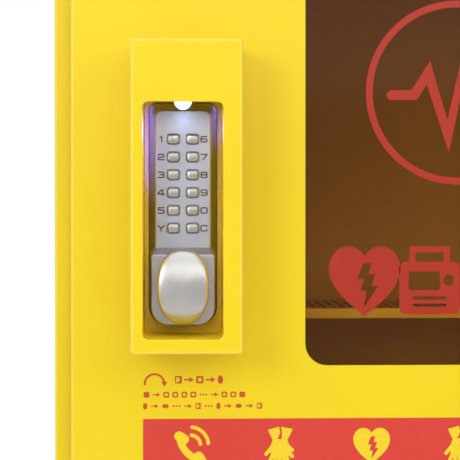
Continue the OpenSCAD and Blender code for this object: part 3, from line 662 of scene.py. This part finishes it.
def cabinet_frame_sheet():
    """Front flange with a folded outer edge, turned back round the opening, and the strike's screw holes."""
    w, h = frame_high.x - frame_low.x, frame_high.z - frame_low.z
    inner_w, inner_h = w - 2 * FLANGE, h - 2 * FLANGE
    front, back, deep = frame_low.y, frame_low.y + SHEET, frame_high.y
    outer = fillet([(20, back), (0, back), (0, front), (20, front)], [0, 1.8])
    opening = fillet([(-20, front), (0, front), (0, deep), (-SHEET, deep), (-SHEET, back), (-20, back)],
                     [1.2, 0.3, 0.3, 0])
    rings = rings_of(w, h, 4, (0, 0), outer) + rings_of(inner_w, inner_h, 3, (0, 0), opening)
    drills = []
    for z in (knob_z - STRIKE_Z, knob_z + STRIKE_Z):
        rim = oval(TAPPED, TAPPED, 2, (front + STRIKE_DEPTH, z), HOLE_STEPS)
        ends = [([(x, *point) for point in rim], 0.0) for x in (-inner_w / 2 - SHEET - 1, -inner_w / 2 + 1)]
        drills.append(loft("drill", ends, cap_first=True, cap_last=True))
    mesh = carved("cabinet_frame_sheet", loft("frame_base", rings, closed=True), drills)
    return piece(mesh, "cabinet", "yellow_powder_coat", ["cabinet_frame"])


def door_sheet():
    """Door skin with its folded edge, the window cut-out and the holes for what goes through it."""
    w, h = door_high.x - door_low.x, door_high.z - door_low.z
    skin, back = Y_DOOR + SHEET, door_high.y
    outer = fillet([(20, Y_DOOR), (0, Y_DOOR), (0, back), (SHEET, back), (SHEET, skin), (20, skin)],
                   [2.2, 0.4, 0.4, 0.6])
    window = fillet([(-20, skin), (0, skin), (0, Y_DOOR), (-20, Y_DOOR)], [0.25, 0.45])
    rings = rings_of(w, h, 3, (0, 0), outer)
    rings += rings_of(window_w, window_h, WINDOW_R, window_at, window)
    grommet_w, bolt_w, screw_w = 8, 6, 4.4
    holes = [(knob_at, BUSH), (middle(*box_mm("cable_grommet")), grommet_w)]
    holes += [((lock_x, z), bolt_w) for z in (-BOLT_Z, BOLT_Z)]
    holes += [(place, screw_w) for place in HOOD_SCREWS]
    mesh = drilled("door_sheet", loft("door_base", rings, closed=True), holes, Y_DOOR - 1, skin + 1)
    return piece(mesh, "door", "yellow_powder_coat", ["door_panel"])


def hood_sheet():
    """Folded hood with the round-cornered mouth through which the lock is reached."""
    w, h, r, rim = hood_high.x - hood_low.x, hood_high.z - hood_low.z, 2.6, 9
    front, inside, back = Y_HOOD, Y_HOOD + SHEET, hood_high.y
    outer = fillet([(rim, back - SHEET), (rim, back), (0, back), (0, front), (20, front)], [0.3, 0.3, 2.5])
    mouth = fillet([(-20, front), (0, front), (0, inside), (-20, inside)], [0.5, 0.3])
    inner = fillet([(20, inside), (SHEET, inside), (SHEET, back - SHEET), (rim, back - SHEET), (rim, back)],
                   [0.6, 0.6, 0.3])
    rings = rings_of(w, h, r, hood_at, outer) + rings_of(mouth_w, mouth_h, MOUTH_R, mouth_at, mouth)
    rings += rings_of(w, h, r, hood_at, inner[:-1])
    holes = [(place, TAPPED) for place in HOOD_SCREWS]
    mesh = drilled("hood_sheet", loft("hood_base", rings, closed=True), holes, back - SHEET - 0.2, back + 1)
    return piece(mesh, "door", "yellow_powder_coat", ["lock_hood"])


def window_sheet():
    outline = rounded(window_w + 2 * PANE_LAP, window_h + 2 * PANE_LAP, WINDOW_R + 4, window_at)
    mesh = plate("window_sheet", [outline], pane_low.y, pane_high.y, 0.4)
    return piece(mesh, "door", "smoked_pane", ["window_pane"])


# ---------------------------------------------------------------- lock

def lock_casting():
    """Cast case: a keypad with sloping sides on a flat base, and a deeper block that carries the knob."""
    top, low = lock_h / 2, -lock_h / 2
    skirt = Y_CASE - 4
    face_w, face_h = 40.8, 154.0
    face_z = top - 6.2 - face_h / 2
    # width, height, radii of the upper and lower corners, depth, height of the middle
    keypad = (
        (lock_w, lock_h, 7, 14, Y_CASE, 0), (lock_w, lock_h, 7, 14, skirt - 0.2, 0),
        (lock_w - 0.6, lock_h - 0.6, 6.8, 13.8, skirt - 1.1, 0),
        (face_w + 1.2, face_h + 1.0, 5.8, 11, Y_FACE + 1.3, face_z),
        (face_w + 0.3, face_h + 0.3, 5.4, 10.6, Y_FACE + 0.45, face_z),
        (face_w - 0.9, face_h - 0.9, 5.0, 10, Y_FACE + 0.05, face_z),
        (face_w - 1.8, face_h - 1.8, 4.6, 9.6, Y_FACE, face_z))
    shelf_top, face_top = -24.3, -30.0
    # width, top, bottom, radii of the upper and lower corners, depth
    block = (
        (49.7, shelf_top, low + 0.2, 6.0, 13.8, skirt), (48.2, shelf_top, low + 0.5, 6.0, 13.4, Y_FACE + 1),
        (47.9, shelf_top - 0.5, low + 0.6, 5.2, 13.3, Y_FACE - 0.3),
        (47.1, face_top + 0.8, low + 0.9, 2.2, 13.0, Y_BLOCK + 1.0),
        (46.7, face_top + 0.2, low + 1.2, 1.8, 12.8, Y_BLOCK + 0.35),
        (45.8, face_top - 0.4, low + 1.7, 1.6, 12.3, Y_BLOCK + 0.03),
        (45.0, face_top - 0.9, low + 2.2, 1.4, 12.0, Y_BLOCK))
    keypad_rings = [ring(rounded(w, h, r, (lock_x, z), r_low), y) for w, h, r, r_low, y, z in keypad]
    block_rings = [ring(rounded(w, z_top - z_low, r, (lock_x, (z_top + z_low) / 2), r_low), y)
                   for w, z_top, z_low, r, r_low, y in block]
    base = loft("keypad", keypad_rings, cap_first=True, cap_last=True)
    nose = loft("nose", block_rings, cap_first=True, cap_last=True)

    back = Y_CASE + 1
    cavity_low, cavity_high = -20, 64
    cavity = rounded(35, cavity_high - cavity_low, 1, (lock_x, (cavity_low + cavity_high) / 2))
    cutters = [prism("cavity", cavity, Y_FACE + 3, back),
               prism("bush_bore", oval(BUSH, BUSH, 2, knob_at), Y_BLOCK - 1, back),
               prism("clutch_room", oval(32, 32, 2, knob_at), Y_BLOCK + 7, back)]
    for z in (-BOLT_Z, BOLT_Z):
        cutters.append(prism("bolt_hole", oval(5.1, 5.1, 2, (lock_x, z), 24), Y_CASE - 10, back))
    for key in KEYS:
        window = rounded(10.3, 8.5, 2.3, middle(*box_mm("key_" + key)), steps=5)
        cutters.append(prism("window_" + key, window, Y_FACE - 1, Y_FACE + 4))
    mesh = carved("lock_casting", base, cutters, [nose])
    return piece(mesh, "door", "satin_cast_zinc", ["lock_case"], bevel=0.22)


def gasket():
    """Thin rubber under the casting, a little wider than it all round."""
    low, high = box_mm("lock_gasket")
    outline = rounded(high.x - low.x, high.z - low.z, 7.7, (lock_x, 0), 14.6)
    opening = rounded(35, lock_h - 40, 4, (lock_x, 0))
    holes = [oval(5.6, 5.6, 2, (lock_x, z), 24) for z in (-BOLT_Z, BOLT_Z)]
    mesh = plate("gasket", [outline, opening] + holes, low.y, high.y, 0.15)
    return piece(mesh, "door", "black_rubber", ["lock_gasket"])


def key_cap(key):
    """A pillowed key in its window, with the flange and stem that hold and guide it."""
    node = "key_" + key
    low, high = box_mm(node)
    flange_front, flange_back = Y_FACE + 3.2, Y_FACE + 4.7
    stem, flange, cap = (3.2, 3.2, 1.59), (11.6, 9.6, 1), (8.8, 7.0, 1.9)   # width, height, corner radius
    rows = [(*stem, high.y), (*stem, flange_back), (*flange, flange_back), (*flange, flange_front),
            (*cap, flange_front), (*cap, Y_FACE + 0.3)]
    pillow = ((8.7, 6.9, 1.9, 0.6), (8.4, 6.6, 1.9, 1.2), (7.9, 6.1, 1.9, 1.62), (7.2, 5.4, 1.8, 1.82),
              (5.6, 4.0, 1.5, 2.02), (3.4, 2.4, 1.0, 2.14))
    rows += [(w, h, r, Y_FACE - proud) for w, h, r, proud in pillow]
    rows.append((1.2, 0.9, 0.4, low.y + 0.01))
    rings = [ring(rounded(w, h, r, middle(low, high), steps=5), y) for w, h, r, y in rows]
    mesh = loft("key_cap_" + key, rings, cap_first=True, cap_last=True)
    return piece(mesh, node, "key_caps", [node])


def turn_knob():
    """Oval knob, crowned from top to bottom and nearly flat across, with a rolled edge and a socket."""
    w, h = knob_high.x - knob_low.x, knob_high.z - knob_low.z
    back, front = knob_high.y, knob_low.y
    squareness, socket_w, socket_deep = 2.35, 12.04, 14

    def crown(x, z):
        """How far the front has dropped back at a place, before the edge rolls over."""
        return 6.2 * abs((z - knob_z) / (h / 2)) ** 2.2 + 0.9 * ((x - lock_x) / (w / 2)) ** 2

    side = ((6.0, 0), (3.2, 0), (2.2, 0.8), (0.9, 2.4), (0.2, 4.4), (0, 6.5))   # inset, height off the back
    rings = [ring(oval(w - 2 * inset, h - 2 * inset, squareness, knob_at), back - up) for inset, up in side]
    for s in (1.0, 0.998, 0.99, 0.975, 0.955, 0.93, 0.89, 0.83, 0.75, 0.65, 0.52, 0.38, 0.24, 0.12, 0.03):
        roll = 1.9 * (1 - math.sqrt(max(1 - s ** 16, 0)))
        outline = oval(w * s, h * s, squareness, knob_at)
        rings.append(([(x, front + roll + crown(x, z), z) for x, z in outline], 0.0))
    solid = loft("knob_base", rings, cap_first=True, cap_last=True)
    mesh = drilled("turn_knob", solid, [(knob_at, socket_w)], back - socket_deep, back + 1)
    return piece(mesh, "knob", "satin_knob", ["thumb_knob"])


# Characters of the key legends, as pen strokes in a box 2 wide and 2 high about the origin
GLYPHS = {
    "1": [[(-0.35, 0.62), (0.18, 1.0), (0.18, -1.0)]],
    "2": [[(-0.9, 0.55), (-0.75, 0.9), (-0.4, 1.0), (0.4, 1.0), (0.8, 0.85), (0.9, 0.5), (0.8, 0.15),
           (0.4, 0.0), (-0.4, -0.05), (-0.8, -0.25), (-0.9, -0.6), (-0.9, -1.0), (0.9, -1.0)]],
    "3": [[(-0.85, 1.0), (0.45, 1.0), (0.8, 0.85), (0.85, 0.5), (0.75, 0.15), (0.4, 0.03), (-0.3, 0.03)],
          [(0.35, 0.03), (0.8, -0.12), (0.9, -0.5), (0.8, -0.88), (0.4, -1.0), (-0.9, -1.0)]],
    "4": [[(0.45, -1.0), (0.45, 1.0), (0.15, 1.0), (-0.9, -0.3), (-0.9, -0.5), (1.0, -0.5)]],
    "5": [[(0.85, 1.0), (-0.8, 1.0), (-0.8, 0.15), (0.4, 0.15), (0.8, 0.0), (0.9, -0.42), (0.8, -0.86),
           (0.4, -1.0), (-0.9, -1.0)]],
    "6": [[(0.8, 1.0), (-0.4, 1.0), (-0.8, 0.85), (-0.9, 0.4), (-0.9, -0.5), (-0.8, -0.88), (-0.4, -1.0),
           (0.4, -1.0), (0.8, -0.88), (0.9, -0.45), (0.8, -0.02), (0.4, 0.1), (-0.75, 0.1)]],
    "7": [[(-0.9, 1.0), (0.85, 1.0), (0.85, 0.8), (-0.35, -1.0)]],
    "8": [[(-0.35, 0.05), (-0.78, 0.2), (-0.85, 0.52), (-0.75, 0.88), (-0.35, 1.0), (0.35, 1.0),
           (0.75, 0.88), (0.85, 0.52), (0.78, 0.2), (0.35, 0.05), (-0.35, 0.05), (-0.8, -0.12),
           (-0.9, -0.48), (-0.8, -0.88), (-0.4, -1.0), (0.4, -1.0), (0.8, -0.88), (0.9, -0.48),
           (0.8, -0.12), (0.42, 0.03)]],
    "9": [[(-0.8, -1.0), (0.4, -1.0), (0.8, -0.85), (0.9, -0.4), (0.9, 0.5), (0.8, 0.88), (0.4, 1.0),
           (-0.4, 1.0), (-0.8, 0.88), (-0.9, 0.45), (-0.8, 0.02), (-0.4, -0.1), (0.75, -0.1)]],
    "0": [[(0.0, 1.0), (-0.4, 1.0), (-0.8, 0.88), (-0.9, 0.45), (-0.9, -0.45), (-0.8, -0.88),
           (-0.4, -1.0), (0.4, -1.0), (0.8, -0.88), (0.9, -0.45), (0.9, 0.45), (0.8, 0.88), (0.4, 1.0),
           (0.1, 1.0)]],
    "y": [[(-0.9, 1.0), (0.0, -0.05), (0.0, -1.0)], [(0.9, 1.0), (0.1, 0.07)]],
    "c": [[(0.9, 0.6), (0.78, 0.9), (0.4, 1.0), (-0.4, 1.0), (-0.8, 0.88), (-0.9, 0.45), (-0.9, -0.45),
           (-0.8, -0.88), (-0.4, -1.0), (0.4, -1.0), (0.78, -0.9), (0.9, -0.6)]],
}


def key_legends():
    """The character of each key beside it, in plain strokes. Each is a hair in front of the last."""
    beside, nudge, glyph_w, glyph_h, pen = 15.8, 0.3, 2.5, 2.0, 0.86
    meshes = []
    for key in KEYS:
        key_x, z = middle(*box_mm("key_" + key))
        x = lock_x + math.copysign(beside, key_x - lock_x) - nudge
        pairs = [pair for points in GLYPHS[key] for pair in zip(points, points[1:])]
        for k, pair in enumerate(pairs):
            line = stroke([(x + glyph_w * u, z + glyph_h * v) for u, v in pair], pen)
            meshes.append(prism("legend", line, Y_FACE - 0.06 - 0.003 * k, Y_FACE + 0.05))
    return piece(joined("key_legends", meshes), "door", "satin_cast_zinc", finish=legend_ink)


# ---------------------------------------------------------------- prints

INK_FRONT, INK_BACK = 0.08, 0.01   # how far a print's two faces are in front of what it is printed on


def circle(at, r, steps):
    return arc(at, r, 0, 360, steps)[:-1]


def heart(size, at):
    """A heart and the bolt cut out of it, in the style of the general sign for a defibrillator."""
    right = [(0.0, 0.335), (0.045, 0.395), (0.115, 0.445), (0.20, 0.47), (0.29, 0.462), (0.375, 0.42),
             (0.44, 0.352), (0.482, 0.265), (0.495, 0.165), (0.48, 0.06), (0.435, -0.05), (0.365, -0.155),
             (0.275, -0.255), (0.17, -0.35), (0.07, -0.43), (0.0, -0.49)]
    outline = smooth([(-x, z) for x, z in right[::-1]]) + smooth(right)[1:-1]
    bolt = [(-0.02, 0.24), (0.10, 0.24), (0.05, 0.09), (0.145, 0.09), (0.095, -0.075), (0.19, -0.075),
            (-0.01, -0.37), (0.03, -0.14), (-0.06, -0.14), (-0.005, 0.02), (-0.10, 0.02)]
    return [moved([(x * size, z * size) for x, z in shape], at) for shape in (outline, bolt)]


def window_print():
    """Red print on the pane: a heartbeat line in a ring, a heart with a bolt, a defibrillator, its pads."""
    parts = []

    def add(name, outlines, lift=0.0):
        """Adds a mark, lifted a hair where it crosses another one."""
        parts.append(plate(name, outlines, Y_PANE - INK_FRONT - lift, Y_PANE - INK_BACK))

    ring_at, ring_r, ring_t = (window_at[0] + 0.4, 91.8), 69.5, 5.2
    add("ring", [circle(ring_at, ring_r, 96), circle(ring_at, ring_r - ring_t, 96)])
    beat = [(-50, -2), (-33, -2), (-22, 15), (-7, -33), (9, 40), (22, -15), (29, -2), (50, -2)]
    add("beat", [stroke(moved(beat, ring_at), 7.5)])
    add("heart", heart(54.8, (-6.9, -50.3)))
    device_at = (42.5, -56.0)
    body, screen = rounded(46, 40, 5), rounded(24, 14, 2, (-4, 5.5))
    dial = circle((14.5, 6), 4.2, 20)
    grille = [rounded(26, 2.4, 1.1, (0, z)) for z in (-7.5, -13)]
    add("device", [moved(outline, device_at) for outline in [body, screen, dial] + grille])
    handle = [(-13, 19), (-13, 29.3), (13, 29.3), (13, 19)]
    add("handle", [stroke(moved(handle, device_at), 4.6)], 0.005)
    for x, tilt in ((96.0, -12), (138.0, 12)):
        add("pad", [moved(outline, (x, -50.0), tilt) for outline in (rounded(27, 40, 8), rounded(15, 26, 5))])
    add("lead", [stroke(smooth([(64, -66), (70, -72), (77, -71), (83.5, -60)]), 2.8)], 0.005)
    return piece(joined("window_print", parts), "door", "red_print", finish=window_ink)


def token(kind, x, z, h):
    """A small mark of the opening steps, h high, with its left edge at x. Returns its shapes and width."""
    if kind in ("key", "pressed"):
        cap_at = (x + h / 2, z)
        cap = [rounded(h, h, h * 0.25, cap_at, steps=3)]
        hollow = [rounded(h * 0.5, h * 0.5, h * 0.12, cap_at, steps=3)]
        return [cap + hollow if kind == "key" else cap], h
    if kind == "dots":
        return [[circle((x + h * (0.2 + 0.5 * k), z), h * 0.17, 10)] for k in range(3)], h * 1.4
    if kind == "arrow":
        neck, tip, thick, wide = x + h * 0.7, x + h * 1.3, h * 0.1, h * 0.38
        shaft = [(x, z - thick), (neck, z - thick), (neck, z - wide), (tip, z), (neck, z + wide),
                 (neck, z + thick), (x, z + thick)]
        return [[shaft]], h * 1.3
    if kind == "knob":
        return [[oval(h * 0.72, h * 1.1, 2.3, (x + h * 0.36, z), 20)]], h * 0.72
    if kind == "turned":
        return [[oval(h * 1.1, h * 0.72, 2.3, (x + h * 0.55, z), 20)]], h * 1.1
    right, near, far = x + h * 0.9, x + h * 0.15, x + h * 0.62
    door = [(x, z - h / 2), (right, z - h / 2), (right, z + h / 2), (x, z + h / 2)]
    leaf = [(near, z - h * 0.36), (far, z - h * 0.2), (far, z + h * 0.22), (near, z + h * 0.36)]
    return [[door, leaf]], h * 0.9


# Rows of the opening steps: left edge, height of the line, size of its marks, the marks, the space between
STEP_ROWS = (
    (-150.0, -124.4, 5.6, "door arrow key arrow knob", 1.7),
    (-173.6, -135.6, 4.4, "pressed arrow key key key key dots arrow key key pressed", 2.35),
    (-174.0, -144.2, 4.4, "knob arrow turned dots arrow door dots knob arrow turned arrow door", 2.75),
)


def step_print():
    """Brick-red marks under the hood: a clockwise arrow, and rows of pictograms for the opening steps."""
    y0, y1 = Y_DOOR - INK_FRONT, Y_DOOR - INK_BACK
    bow = stroke(arc((-165.4, -127.4), 7.3, 182, 14, 16), 1.5)
    tip = [(-160.4, -125.9), (-155.6, -125.9), (-158.0, -129.4)]
    parts = [plate("bow", [bow], y0, y1), plate("tip", [tip], y0, y1)]
    for x, z, h, kinds, space in STEP_ROWS:
        for kind in kinds.split():
            shapes, width = token(kind, x, z, h)
            parts += [plate("mark", outlines, y0, y1) for outlines in shapes]
            x += width + space
    return piece(joined("step_print", parts), "door", "red_print", finish=brick_ink)


def strip_icons():
    """Yellow pictograms on the red strip: call, press, shock, press, ambulance."""
    z = (strip_low.z + strip_high.z) / 2 + 2.4
    parts = []

    def add(x, *outlines):
        """A mark about the icon's middle. It lies a hair in front of the last one, as marks may overlap."""
        lift = 0.004 * (len(parts) % 12)
        outlines = [moved(outline, (strip_low.x + x, z)) for outline in outlines]
        parts.append(plate("icon", outlines, strip_low.y - 0.06 - lift, strip_low.y - 0.005))

    def phone(x):
        add(x, stroke(arc((11.8, 10.4), 20.5, 192, 252, 14), 5.4))
        add(x, stroke([(-9.0, 8.6), (-5.2, 6.2)], 7.4))
        add(x, stroke([(5.6, -6.6), (8.2, -10.6)], 7.4))
        for r in (7.6, 13.6):
            add(x, stroke(arc((-0.6, 1.8), r, 6, 84, 12), 2.7))

    def hands(x):
        """Two gloved hands laid on each other, as for pressing on a chest."""
        add(x, [(-9.0, 13.0), (-0.7, 15.4), (0.3, 11.0), (-1.6, 6.4), (-5.6, 5.6)])
        add(x, [(0.9, 15.2), (9.8, 13.6), (5.9, 5.8), (1.2, 6.2), (1.7, 10.8)])
        add(x, [(-5.2, 6.0), (5.5, 6.0), (7.6, -0.6), (6.4, -8.4), (-6.4, -8.4), (-7.6, -0.6)])
        fingers = (((-5.6, 0.6), (-10.4, -5.2)), ((5.6, 1.4), (9.3, -2.4)), ((5.6, -2.6), (9.4, -7.0)),
                   ((-5.2, -5.0), (-7.4, -10.0)), ((-3.4, -7.6), (-4.0, -14.0)),
                   ((-0.3, -7.8), (-0.3, -15.4)), ((2.8, -7.8), (3.3, -14.6)), ((5.0, -7.0), (6.6, -12.2)))
        for finger in fingers:
            add(x, stroke(finger, 2.8))

    def ambulance(x):
        van = [(-16, -8), (-16, 9), (5, 9), (5, 4.5), (10.5, 4.5), (16, -1.5), (16, -8)]
        add(x, van, [(6.6, 2.6), (9.6, 2.6), (12.6, -1.0), (6.6, -1.0)])
        for wheel in ((-8.5, -8.4), (9.5, -8.4)):
            add(x, circle(wheel, 4.2, 24), circle(wheel, 1.7, 16))
        add(x, rounded(5, 2.6, 1.0, (-1, 11.2), steps=3))

    phone(36)
    hands(102.8)
    add(172.1, *heart(28.0, (0, 1.0)))
    hands(239)
    ambulance(304)
    return piece(joined("strip_icons", parts), "door", "red_print", finish=yellow_ink)


# ---------------------------------------------------------------- CAD nodes that stay

# How far the edges of a node are rolled, where it isn't 0.25 mm
EDGE = {"cabinet_wrap": 0.5, "cabinet_back": 0.4, "shelf": 0.4, "door_frame": 0.4,
        "window_retainer": 0.4, "hood_liner": 0.35, "heater_case": 0.4, "power_supply": 0.5,
        "thermostat": 1.2, "battery_box": 0.8, "battery_cover": 0.8, "lamp_housing": 0.5,
        "cable_gland": 0.6, "gland_locknut": 0.5, "lock_gasket": 0.2, "door_seal": 0.8,
        "window_seal": 0.3, "latch_cam": 0.4, "strike_plate": 0.4, "lock_rear_plate": 0.4}
SWEPT = ("key_springs", "return_spring", "lamp_cable", "wiring_loom")


def smooth_faces():
    """A modifier's node group that only smooths the faces, so that the CAD mesh itself stays as it is."""
    group = bpy.data.node_groups.new("smooth_faces", "GeometryNodeTree")
    for side in ("INPUT", "OUTPUT"):
        group.interface.new_socket("Geometry", in_out=side, socket_type="NodeSocketGeometry")
    start, smooth_node, end = (group.nodes.new(kind) for kind in (
        "NodeGroupInput", "GeometryNodeSetShadeSmooth", "NodeGroupOutput"))
    group.links.new(start.outputs[0], smooth_node.inputs["Geometry"])
    group.links.new(smooth_node.outputs[0], end.inputs[0])
    return group


SMOOTH_FACES = smooth_faces()


def dress(node, obj):
    """Gives a CAD node its finish, and takes the knife edges off what isn't a swept tube."""
    for slot in obj.material_slots:
        slot.material = MATERIALS[NODE_SLOT[node]]
    weld = obj.modifiers.new("weld", "WELD")
    weld.merge_threshold = 0.00001
    if node in SWEPT:
        obj.modifiers.new("smooth_faces", "NODES").node_group = SMOOTH_FACES
        return
    round_edges(obj, EDGE.get(node, 0.25))
    even_normals(obj)


# ---------------------------------------------------------------- the object

def hang_light(data, place, turn, body, lit):
    """Puts a light that isn't seen itself on a body. It reaches only the pieces in lit, if there are any."""
    obj = bpy.data.objects.new(data.name, data)
    obj.location, obj.rotation_euler = place, turn
    obj.visible_camera = False
    if lit:
        obj.light_linking.receiver_collection = bpy.data.collections.new(data.name + "_reach")
        for thing in lit:
            obj.light_linking.receiver_collection.objects.link(thing)
    scene.collection.objects.link(obj)
    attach(obj, body)


def fade_out(data):
    """Makes an area light die away towards one end, so that it isn't mirrored with a hard one."""
    data.use_nodes = True
    nodes, links = data.node_tree.nodes, data.node_tree.links
    split = nodes.new("ShaderNodeSeparateXYZ")
    fade = nodes.new("ShaderNodeMapRange")
    fade.interpolation_type = "SMOOTHSTEP"
    links.new(nodes.new("ShaderNodeNewGeometry").outputs["Parametric"], split.inputs[0])
    links.new(split.outputs["Y"], fade.inputs["Value"])
    links.new(fade.outputs["Result"], nodes["Emission"].inputs["Strength"])


def object_light(kind, name, place, watts, colour, body, size=(3, 3), lit=(), toward=(0, 1, 0)):
    """A light that moves with a body. One that points sideways fades out."""
    data = bpy.data.lights.new(name, kind)
    data.energy, data.color = watts, colour
    if kind == "AREA":
        data.shape, data.size, data.size_y = "RECTANGLE", size[0] * MM, size[1] * MM
    else:
        data.shadow_soft_size = size[0] * MM
    if toward[0]:
        fade_out(data)
    hang_light(data, Vector(place) * MM, Vector(toward).to_track_quat("-Z", "Y").to_euler(), body, lit)


def lamp_glow(recess, lock):
    """The lamp's light at the lens, its violet spill, and what the hood's walls send back."""
    y = (lens_low.y + lens_high.y) / 2
    violet, deep, top = (0.33, 0.24, 1.0), (Y_FACE + Y_CASE) / 2 + 5, mouth_at[1] + mouth_h / 2
    object_light("POINT", "lamp_glow", (lock_x, y, lens_low.z - 4), 0.004, (0.62, 0.66, 1.0), "door")
    for side, spill, tint, reach in ((-1, 0.058, 0.0048, 72), (1, 0.020, 0.0015, 34)):
        place = (lock_x + side * 21, y + 8, lens_low.z - 14)
        object_light("POINT", "lamp_spill", place, spill, (0.20, 0.14, 1.0), "door", (11, 11), recess)
        place = (lock_x + side * (mouth_w / 2 - 1), deep, lens_low.z - reach / 2)
        object_light("AREA", "lamp_tint", place, tint, violet, "door", (22, reach), lock, (-side, 0, 0))
        place = (lock_x + side * (mouth_w / 2 - 2.5), Y_HOOD + 6, mouth_at[1])
        object_light("AREA", "recess_light", place, 0.012, (1.0, 0.62, 0.55), "door", (3, mouth_h - 20),
                     recess)
    object_light("AREA", "lamp_tint", (lock_x, Y_CASE - 2, top - 3), 0.003, violet, "door", (60, 10), lock,
                 (0, -1, -0.5))
    place = (lock_x - 29, Y_FACE - 14, top - 38)
    object_light("POINT", "lamp_tint", place, 0.005, violet, "door", (8, 8), lock)
    for side, drop, watts in ((-1, 10, 3.4), (-1, 30, 3.0), (-1, 50, 1.6), (1, 14, 1.8)):
        lamp_sheen(Vector((lock_x + side * 27.5, Y_DOOR, top - drop)) * MM, watts, recess)


def lamp_sheen(target, watts, recess):
    """The blue of the lamp as the paint beside the lock shows it: a narrow spot from the camera's side."""
    distance, cone = 0.25, math.radians(6.6)
    away = (scene.camera.location - target).normalized()
    data = bpy.data.lights.new("lamp_sheen", "SPOT")
    data.energy, data.color, data.shadow_soft_size = watts, (0.035, 0.02, 1.0), 0.002
    data.spot_size, data.spot_blend = cone, 1.0
    hang_light(data, target + away * distance, away.to_track_quat("Z", "Y").to_euler(), "door", recess)


def bay_light():
    """Soft light in the access opening, so that the bay and its shelf can be seen through the pane."""
    place = (window_at[0], door_high.y + 5, -50)
    object_light("AREA", "bay_light", place, 0.040, (1.0, 0.90, 0.78), "cabinet", (window_w, 44))
    low, high = box_mm("shelf")
    place = (window_at[0], low.y - 22, high.z - 3)
    object_light("AREA", "shelf_light", place, 0.013, (1.0, 0.94, 0.70), "cabinet", (window_w, 6))


camera()
world()
floor()
area_light("key_light", (-1.35, -2.3, 0.62), (-0.1, -0.2, 0.0), (0.9, 0.9), 15.5, (0.97, 1.0, 1.0))
area_light("front_light", (0.4, -1.7, 0.56), (0.4, -0.2, 0.30), (1.5, 0.68), 4.0, (1.0, 1.0, 1.0))
area_light("top_light", (-0.14, -1.19, 1.24), (-0.144, -0.25, -0.05), (1.0, 0.8), 2.4, (1.0, 1.0, 1.0))
area_light("side_light", (2.2, -1.6, 0.9), (0, -0.2, 0), (1.2, 1.6), 8, (0.97, 0.98, 1.0))

cabinet_frame_sheet()
door = door_sheet()
hood_sheet()
window_sheet()
lock = [lock_casting()]
recess = [door, gasket(), frame["nodes"]["hood_liner"]]
turn_knob()
lock += [key_cap(name) for name in KEYS]
key_legends()
window_print()
step_print()
strip_icons()
for name, obj in frame["nodes"].items():
    if not obj.hide_render:
        dress(name, obj)
lamp_glow(recess, lock)
bay_light()

scene.view_settings.view_transform = "Standard"
